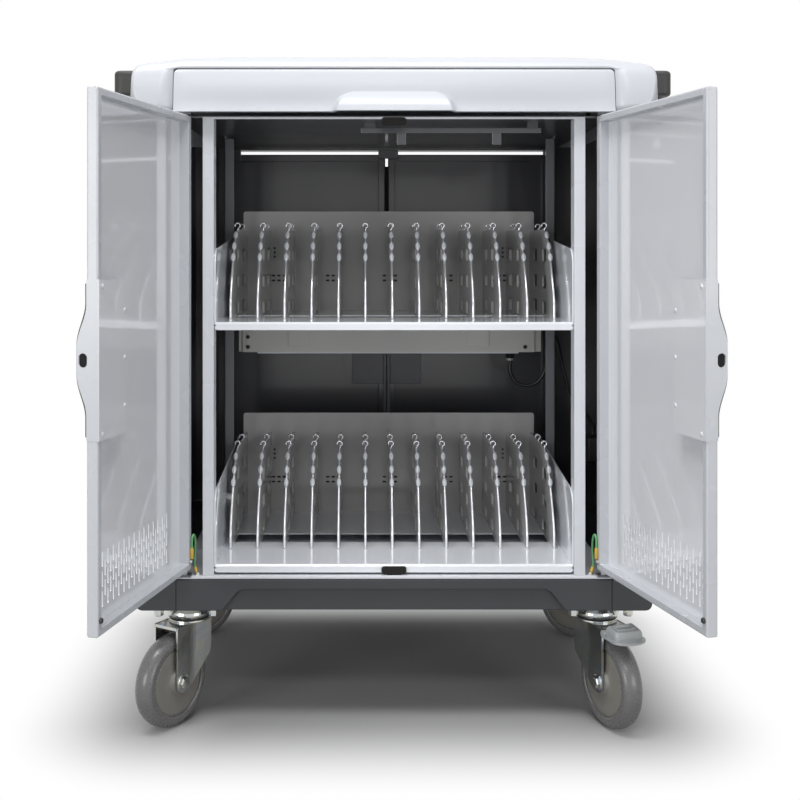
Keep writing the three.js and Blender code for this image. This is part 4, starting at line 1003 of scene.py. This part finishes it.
# A lighter copy of the dark powder for the lock boxes and the strip beside the seam: painted light that lifts them out
# of the shade.
lit_lock_box_coat = powder_coat("dark powder painted lighter on the lock boxes", "#8B8C92", "#84858B", 0.4)
for name, side in (("left", -1), ("right", 1)):
    pivot = (side * 283, 495)
    form = hung(*assembled([door_folds(12, 12, REAR_TOP), door_skin([], REAR_TOP), *lock_bracket()]), pivot, -side, 1, 0)
    mesh = mesh_of(f"rear_door_{name}_pan", to_metres(form[0]), form[1], False)
    settle(f"rear_door_{name}_pan", mesh, dark_coat, f"rear_door_{name}", [f"rear_door_{name}"])
    # Lock box and seam strip in the lighter copy of the dark powder, as painted light.
    form = hung(*assembled([box_form(222, 277, 7.1, 13, 418, 505), box_form(276.9, 282.6, 7.05, 10, DOOR_Z0 + 1, 505)]),
                pivot, -side, 1, 0)
    lock_box = mesh_of(f"rear_door_{name}_lock_box", to_metres(form[0]), form[1], False)
    lock_box = settle(f"rear_door_{name}_lock_box", lock_box, lit_lock_box_coat, f"rear_door_{name}")
    round_edges(lock_box, 0.8)
    seal = rounded_ring(279.5, 283.0, -6, 6, 1.2, 1, 4)
    rings = np.stack([np.column_stack([seal, np.full(len(seal), z)]) for z in (DOOR_Z0 + 1, SEAL_TOP)])
    form = hung(rings.reshape(-1, 3), loft_faces(2, len(seal), caps=(True, True)), pivot, -side, 1, 0)
    settle(f"rear_door_{name}_seal", mesh_of(f"rear_door_{name}_seal", to_metres(form[0]), form[1]), dark_coat,
           f"rear_door_{name}")


# Earth leads: short green wires that bond each front door to the floor beside its lower pivot. A
# ring terminal with a yellow sleeve is screwed to the door's fold, the wire loops over, and a
# second terminal is bolted to the floor panel.

def tube_along(route, radius, sides):
    """A round wire through points: circles square to the route, with its ends filled."""
    path = through(route, 6)
    step = np.gradient(path, axis=0)
    step /= np.linalg.norm(step, axis=1, keepdims=True)
    beside = np.cross(step, [0.9, -0.35, 0.1])
    beside /= np.linalg.norm(beside, axis=1, keepdims=True)
    above = np.cross(beside, step)
    angle = -np.arange(sides) * 2 * np.pi / sides
    return lofted(path[:, None] + radius * (np.cos(angle)[None, :, None] * beside[:, None]
                                            + np.sin(angle)[None, :, None] * above[:, None]))


def mirrored(form, side):
    """A form drawn on the left of the cart, or its mirror image on the right."""
    points, faces = form
    return points * [-side, 1, 1], faces if side < 0 else [face[::-1] for face in faces]


sleeve_yellow = moulded_plastic("yellow vinyl sleeve", "#E0BC50", "#D6AE42", 0.4, 2.0, 0.01)
wire_green = moulded_plastic("green PVC", "#6FB27A", "#64A66E", 0.4, 3.0, 0.01)
tinned = powder_coat("tinned copper", "#D4D4D0", "#C8C8C4", 0.3)
tinned.node_tree.nodes["Principled BSDF"].inputs["Metallic"].default_value = 0.8
SLEEVE = [(0, 0), (2.0, 0), (2.5, 0.6), (2.5, 13), (2.2, 14.4), (0, 14.4)]
DOOR_END, FLOOR_END = (-273.5, -6.8), (-269.5, 4.4)
wire_route = [[*DOOR_END, 249], [-273.6, -6.7, 258], [-273.2, -6.0, 264.5], [-272.0, -3.2, 268.2],
              [-270.8, 0.4, 264.5], [-270.2, 3.0, 255], [-270.6, 4.6, 242], [-271.4, 4.2, 230], [-271.0, 4.2, 222]]
for name, side in (("left", -1), ("right", 1)):
    sleeve = turned(SLEEVE, 16, (*DOOR_END, 236.4)).reshape(-1, 3), loft_faces(len(SLEEVE), 16)
    points, faces = mirrored(sleeve, side)
    settle(f"{name}_earth_sleeve", mesh_of(f"{name}_earth_sleeve", to_metres(points), faces), sleeve_yellow,
           f"{name}_door")
    ring = [(0, 0), (3.8, 0), (3.8, 1.0), (2.6, 1.2), (2.4, 2.4), (0, 2.8)]
    terminal = turned(ring, 16, (-275.4, -6.8, 232.6), (0.98, -0.19, 0)).reshape(-1, 3), loft_faces(len(ring), 16)
    points, faces = mirrored(terminal, side)
    settle(f"{name}_earth_terminal", mesh_of(f"{name}_earth_terminal", to_metres(points), faces, False), tinned,
           f"{name}_door")
    points, faces = mirrored(tube_along(wire_route, 1.5, 10), side)
    wire = bpy.data.objects.new(f"{name}_earth_wire", mesh_of(f"{name}_earth_wire", to_metres(points), faces))
    wire.data.materials.append(wire_green)
    bpy.context.scene.collection.objects.link(wire)
    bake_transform(wire)
    foot = turned([(r * 0.9, h * 0.7) for r, h in SLEEVE], 16, (-270.9, 4.4, 223), (0.22, 0.2, -0.95))
    points, faces = mirrored((foot.reshape(-1, 3), loft_faces(len(SLEEVE), 16)), side)
    settle(f"{name}_earth_foot", mesh_of(f"{name}_earth_foot", to_metres(points), faces), sleeve_yellow, "cabinet")
    bolt = [(0, 0), (4.6, 0), (4.6, 0.9), (3.4, 1.0), (3.4, 3.2), (2.6, 3.8), (0, 3.9)]
    points, faces = mirrored((turned(bolt, 12, (-267, 4, 212.05)).reshape(-1, 3), loft_faces(len(bolt), 12)), side)
    settle(f"{name}_earth_bolt", mesh_of(f"{name}_earth_bolt", to_metres(points), faces, False), tinned, "cabinet")


# Casters: four swivel castors of pressed, zinc plated steel. Each has a plate bolted under the
# plinth, a ball race between two pressed cups, and a fork whose cheeks flare round the race and
# are folded down to the axle behind it.

CASTER_PLACES = {"front_left": (-286, 55, 237.5), "front_right": (286, 55, 290),
                 "rear_left": (-286, 420, 216), "rear_right": (286, 420, 315)}
AXLE_X, AXLE_Z = 38, 62.5


def turned_about(points, x, y, heading):
    """Points drawn with the wheel trailing along x, turned to the castor's heading and moved to it."""
    c, s = math.cos(math.radians(heading)), math.sin(math.radians(heading))
    p = np.asarray(points, float).reshape(-1, 3)
    return to_metres(np.column_stack([x + c * p[:, 0] - s * p[:, 1], y + s * p[:, 0] + c * p[:, 1], p[:, 2]]))


def spun(profile, sides, centre=(0, 0, 0), axis=(0, 0, 1)):
    """A (points, faces) form of a profile of (radius, height) that starts and ends on the axis."""
    rings = turned(profile, sides, centre, axis)
    return rings.reshape(-1, 3), loft_faces(len(rings), sides)


def hexagon(radius, low, high, centre, axis):
    """A hexagon head with its corners turned off at the outer end and a low dome."""
    return spun([(0, low), (radius, low), (radius, high - 0.8), (radius - 1.0, high), (radius - 2.4, high + 0.5),
                 (0, high + 0.9)], 6, centre, axis)


def zinc_plate():
    """Bright zinc with a passivating film: grey metal mottled by spangles 14 mm across, and smears of
    pale gold and blue film 30 mm long."""
    material = bpy.data.materials.new("zinc plated steel")
    material.use_nodes = True
    tree = material.node_tree
    shader = tree.nodes["Principled BSDF"]
    shader.inputs["Metallic"].default_value = 1.0
    place = add_node(tree, "ShaderNodeTexCoord")
    film = add_node(tree, "ShaderNodeTexNoise", values={"Scale": 1000 / 30, "Detail": 3, "Distortion": 1.5},
                    links={"Vector": place.outputs["Object"]})
    tint = add_node(tree, "ShaderNodeValToRGB", links={0: film.outputs["Fac"]})
    stops = tint.color_ramp.elements
    stops[0].position, stops[0].color = 0.32, linear("#B3B8BC")
    stops[1].position, stops[1].color = 0.70, linear("#C2C4C5")
    for position, colour in ((0.44, "#BDC0C0"), (0.52, "#C5C2B6"), (0.60, "#B2BAC3")):
        stops.new(position).color = linear(colour)
    spangle = add_node(tree, "ShaderNodeTexVoronoi", values={"Scale": 1000 / 14},
                       links={"Vector": place.outputs["Object"]})
    gloss = add_node(tree, "ShaderNodeMapRange", values={"To Min": 0.16, "To Max": 0.26},
                     links={"Value": spangle.outputs["Color"]})
    bump = add_node(tree, "ShaderNodeBump", values={"Strength": 0.25, "Distance": 0.0001},
                    links={"Height": film.outputs["Fac"]})
    tree.links.new(tint.outputs[0], shader.inputs["Base Color"])
    tree.links.new(gloss.outputs[0], shader.inputs["Roughness"])
    tree.links.new(bump.outputs[0], shader.inputs["Normal"])
    return material


zinc = zinc_plate()


def caster_plate():
    """The plate with its four hexagon bolts and the pressed upper cup of the race."""
    points, faces = flat_sheet(rounded_ring(-52, 52, -42, 42, 8, 1, 6), [], 3.7)
    cup = spun([(0, 142.4), (26, 142.4), (29.6, 144), (31.6, 147), (32, 149), (31, 152), (28, 157), (26, 160.2),
                (0, 160.2)], 56)
    bolts = [hexagon(7, 0, 10.4, (x, y, 160.2), (0, 0, -1)) for x in (-38, 38) for y in (-29, 29)]
    return assembled([(points + [0, 0, 160], faces), cup, *bolts])


def fork_cheek(side):
    """One cheek: rows down its height, columns along it, on a wall that runs straight behind the axle
    and flares out in front of it. Its front edge is raked and its foot is rounded."""
    back_edge = np.concatenate([[138.5], np.linspace(132, 58, 12), 49 + 9 * np.cos(np.linspace(0.3, 1.57, 6))])
    foot = np.clip((58 - back_edge) / 9, 0, 1)
    x_back = 49 - 9 * (1 - np.sqrt(1 - foot ** 2))
    x_front = np.interp(back_edge, [49, 51, 54, 92, 104, 140], [34, 27, 20, -13.5, -15, -15])
    along = np.linspace(0, 1, 15)
    x = x_front[:, None] + (x_back - x_front)[:, None] * along
    flare = np.interp(x, [-15, 14, 20, 49], [5.5, 0.5, 0, 0])
    z = back_edge[:, None] + 0 * x
    outer = np.stack([x, 21.5 + flare, z], -1)
    inner = np.stack([x, 18.5 + flare, z], -1)
    loops = np.concatenate([outer, inner[:, ::-1]], 1) * [1, side, 1]
    faces = loft_faces(len(loops), loops.shape[1], caps=(True, True))
    return loops.reshape(-1, 3), faces if side > 0 else [face[::-1] for face in faces]


def caster_fork():
    """Crown, two cheeks, the lower cup and the axle with its nuts."""
    plan = np.array([[49, -20.5], [49, 20.5], [18, 20.5], [-15, 26], [-22, 22], [-27, 14], [-29, 5],
                     [-29, -5], [-27, -14], [-22, -22], [-15, -26], [18, -20.5]])
    points, faces = flat_sheet(plan, [], 4)
    parts = [(points + [0, 0, 134.5], faces), fork_cheek(1), fork_cheek(-1)]
    parts.append(spun([(0, 137.5), (28, 137.5), (29.4, 138.6), (29.4, 140.6), (27, 142), (0, 142)], 56))
    for end in (-1, 1):
        parts.append(spun([(0, 20), (10.5, 20), (10.5, 22.4), (9.8, 22.8), (0, 22.8)], 28, (AXLE_X, 0, AXLE_Z),
                          (0, end, 0)))
        parts.append(hexagon(8, 22, 26, (AXLE_X, 0, AXLE_Z), (0, end, 0)))
    return assembled(parts)


race_rubber = moulded_plastic("black race seal", "#1E1E20", "#191919", 0.5, 2.0, 0.02)
for name, (x, y, heading) in CASTER_PLACES.items():
    points, faces = caster_plate()
    mesh = mesh_of(f"caster_plate_{name}_pressed", turned_about(points, x, y, 0), faces, False)
    plate = settle(f"caster_plate_{name}_pressed", mesh, zinc, "cabinet", [f"caster_plate_{name}"])
    round_edges(plate, 0.6)
    points, faces = caster_fork()
    mesh = mesh_of(f"caster_fork_{name}_pressed", turned_about(points, x, y, heading), faces, False)
    fork = settle(f"caster_fork_{name}_pressed", mesh, zinc, f"caster_fork_{name}",
                  [f"caster_fork_{name}"])
    round_edges(fork, 0.7)
    points, faces = spun([(26, 141.9), (29, 141.9), (29, 143.0), (26, 143.0), (26, 141.9)], 40)
    mesh = mesh_of(f"caster_seal_{name}", turned_about(points, x, y, 0), faces)
    settle(f"caster_seal_{name}", mesh, race_rubber, "cabinet")


# Wheels: a grey urethane tyre cast round a grey nylon disc. The tread is rounded, a bead line runs
# round the side of the tyre, and the disc is set in behind a dark joint.

TYRE = [(46.6, 11.5), (46.8, 13.2), (47.8, 14.6), (49.6, 15.2), (50.6, 14.7), (51.4, 14.6), (52.4, 14.9),
        (55.2, 14.2), (58, 12.4), (60.3, 9.6), (61.8, 6), (62.3, 3), (62.5, 0)]
DISC = [(0, 17.4), (14, 17.4), (15.2, 17.0), (16, 15.6), (17.2, 13.8), (18.4, 13.2), (30, 12.9), (43.6, 12.9),
        (44.4, 12.6), (44.8, 11.6), (46.0, 11.6), (47, 11.6)]
tyre_grey = moulded_plastic("grey urethane", "#727172", "#6A696A", 0.26, 2.5, 0.02)
disc_grey = moulded_plastic("grey nylon disc", "#87857E", "#7E7C76", 0.38, 1.6, 0.02)
for name, (x, y, heading) in CASTER_PLACES.items():
    half = np.array(TYRE)
    section = np.concatenate([half, half[-2::-1] * [1, -1], half[:1]])[::-1]
    rings = turned(section, 96, (AXLE_X, 0, AXLE_Z), (0, -1, 0))
    mesh = mesh_of(f"caster_wheel_{name}_tyre", turned_about(rings, x, y, heading), loft_faces(len(rings), 96))
    settle(f"caster_wheel_{name}_tyre", mesh, tyre_grey, f"caster_wheel_{name}",
           [f"caster_wheel_{name}"])
    discs = assembled([spun(DISC[::-1], 96, (AXLE_X, 0, AXLE_Z), (0, end, 0)) for end in (-1, 1)])
    mesh = mesh_of(f"caster_wheel_{name}_disc", turned_about(discs[0], x, y, heading), discs[1])
    settle(f"caster_wheel_{name}_disc", mesh, disc_grey, f"caster_wheel_{name}")


# Brake pedals: pressed steel covers on the trailing side of two castors, in grey enamel. A rounded
# tread runs round the foot of the cover, and its top has a raised frame round a sunk pad.

def pedal_outline(grow):
    """Plan of the cover in (x, y), drawn in or out."""
    return rounded_ring(55 - grow, 85 + grow, -21 - grow, 21 + grow, 6 + grow * 0.5, 3, 6)


def brake_pedal():
    """Cover as rings that draw in and climb to a top that falls away backwards, then step down into
    the pad; the tread is a sheet with a bowed edge; the hub lies across."""
    levels = [(0.6, 0.0), (0.6, 0.45), (0.2, 0.72), (-1.2, 0.92), (-3.0, 1.0), (-7.5, 1.0), (-8.0, 1.06), (-9.4, 1.06),
              (-9.9, 0.98), (-10.2, 0.9)]
    rings = []
    for grow, climb in levels:
        ring = pedal_outline(grow)
        top = np.interp(ring[:, 0], [55, 60, 80, 86], [143.5, 146, 143.4, 141])
        rings.append(np.column_stack([ring, 130 + (top - 130) * climb]))
    cover = lofted(np.stack(rings))
    bow = np.linspace(-np.pi / 2, np.pi / 2, 19)
    tread = np.concatenate([[[55, -24.5]], np.column_stack([80 + 18 * np.cos(bow), 25 * np.sin(bow)]), [[55, 24.5]]])
    points, faces = flat_sheet(tread, [], 3)
    hub = spun([(0, -25), (5.2, -25), (5.2, 25), (0, 25)], 24, (56, 0, 134), (0, 1, 0))
    return assembled([cover, (points + [0, 0, 129], faces), hub])


pedal_paint = powder_coat("grey enamel", "#A9ACAE", "#A1A4A6", 0.3, 1.8, 0.02)
for name in ("front_right", "rear_left"):
    points, faces = brake_pedal()
    mesh = mesh_of(f"brake_pedal_{name}_pressed", turned_about(points, *CASTER_PLACES[name]), faces, False)
    pedal = settle(f"brake_pedal_{name}_pressed", mesh, pedal_paint, f"brake_pedal_{name}",
                   [f"brake_pedal_{name}"])
    round_edges(pedal, 0.7)
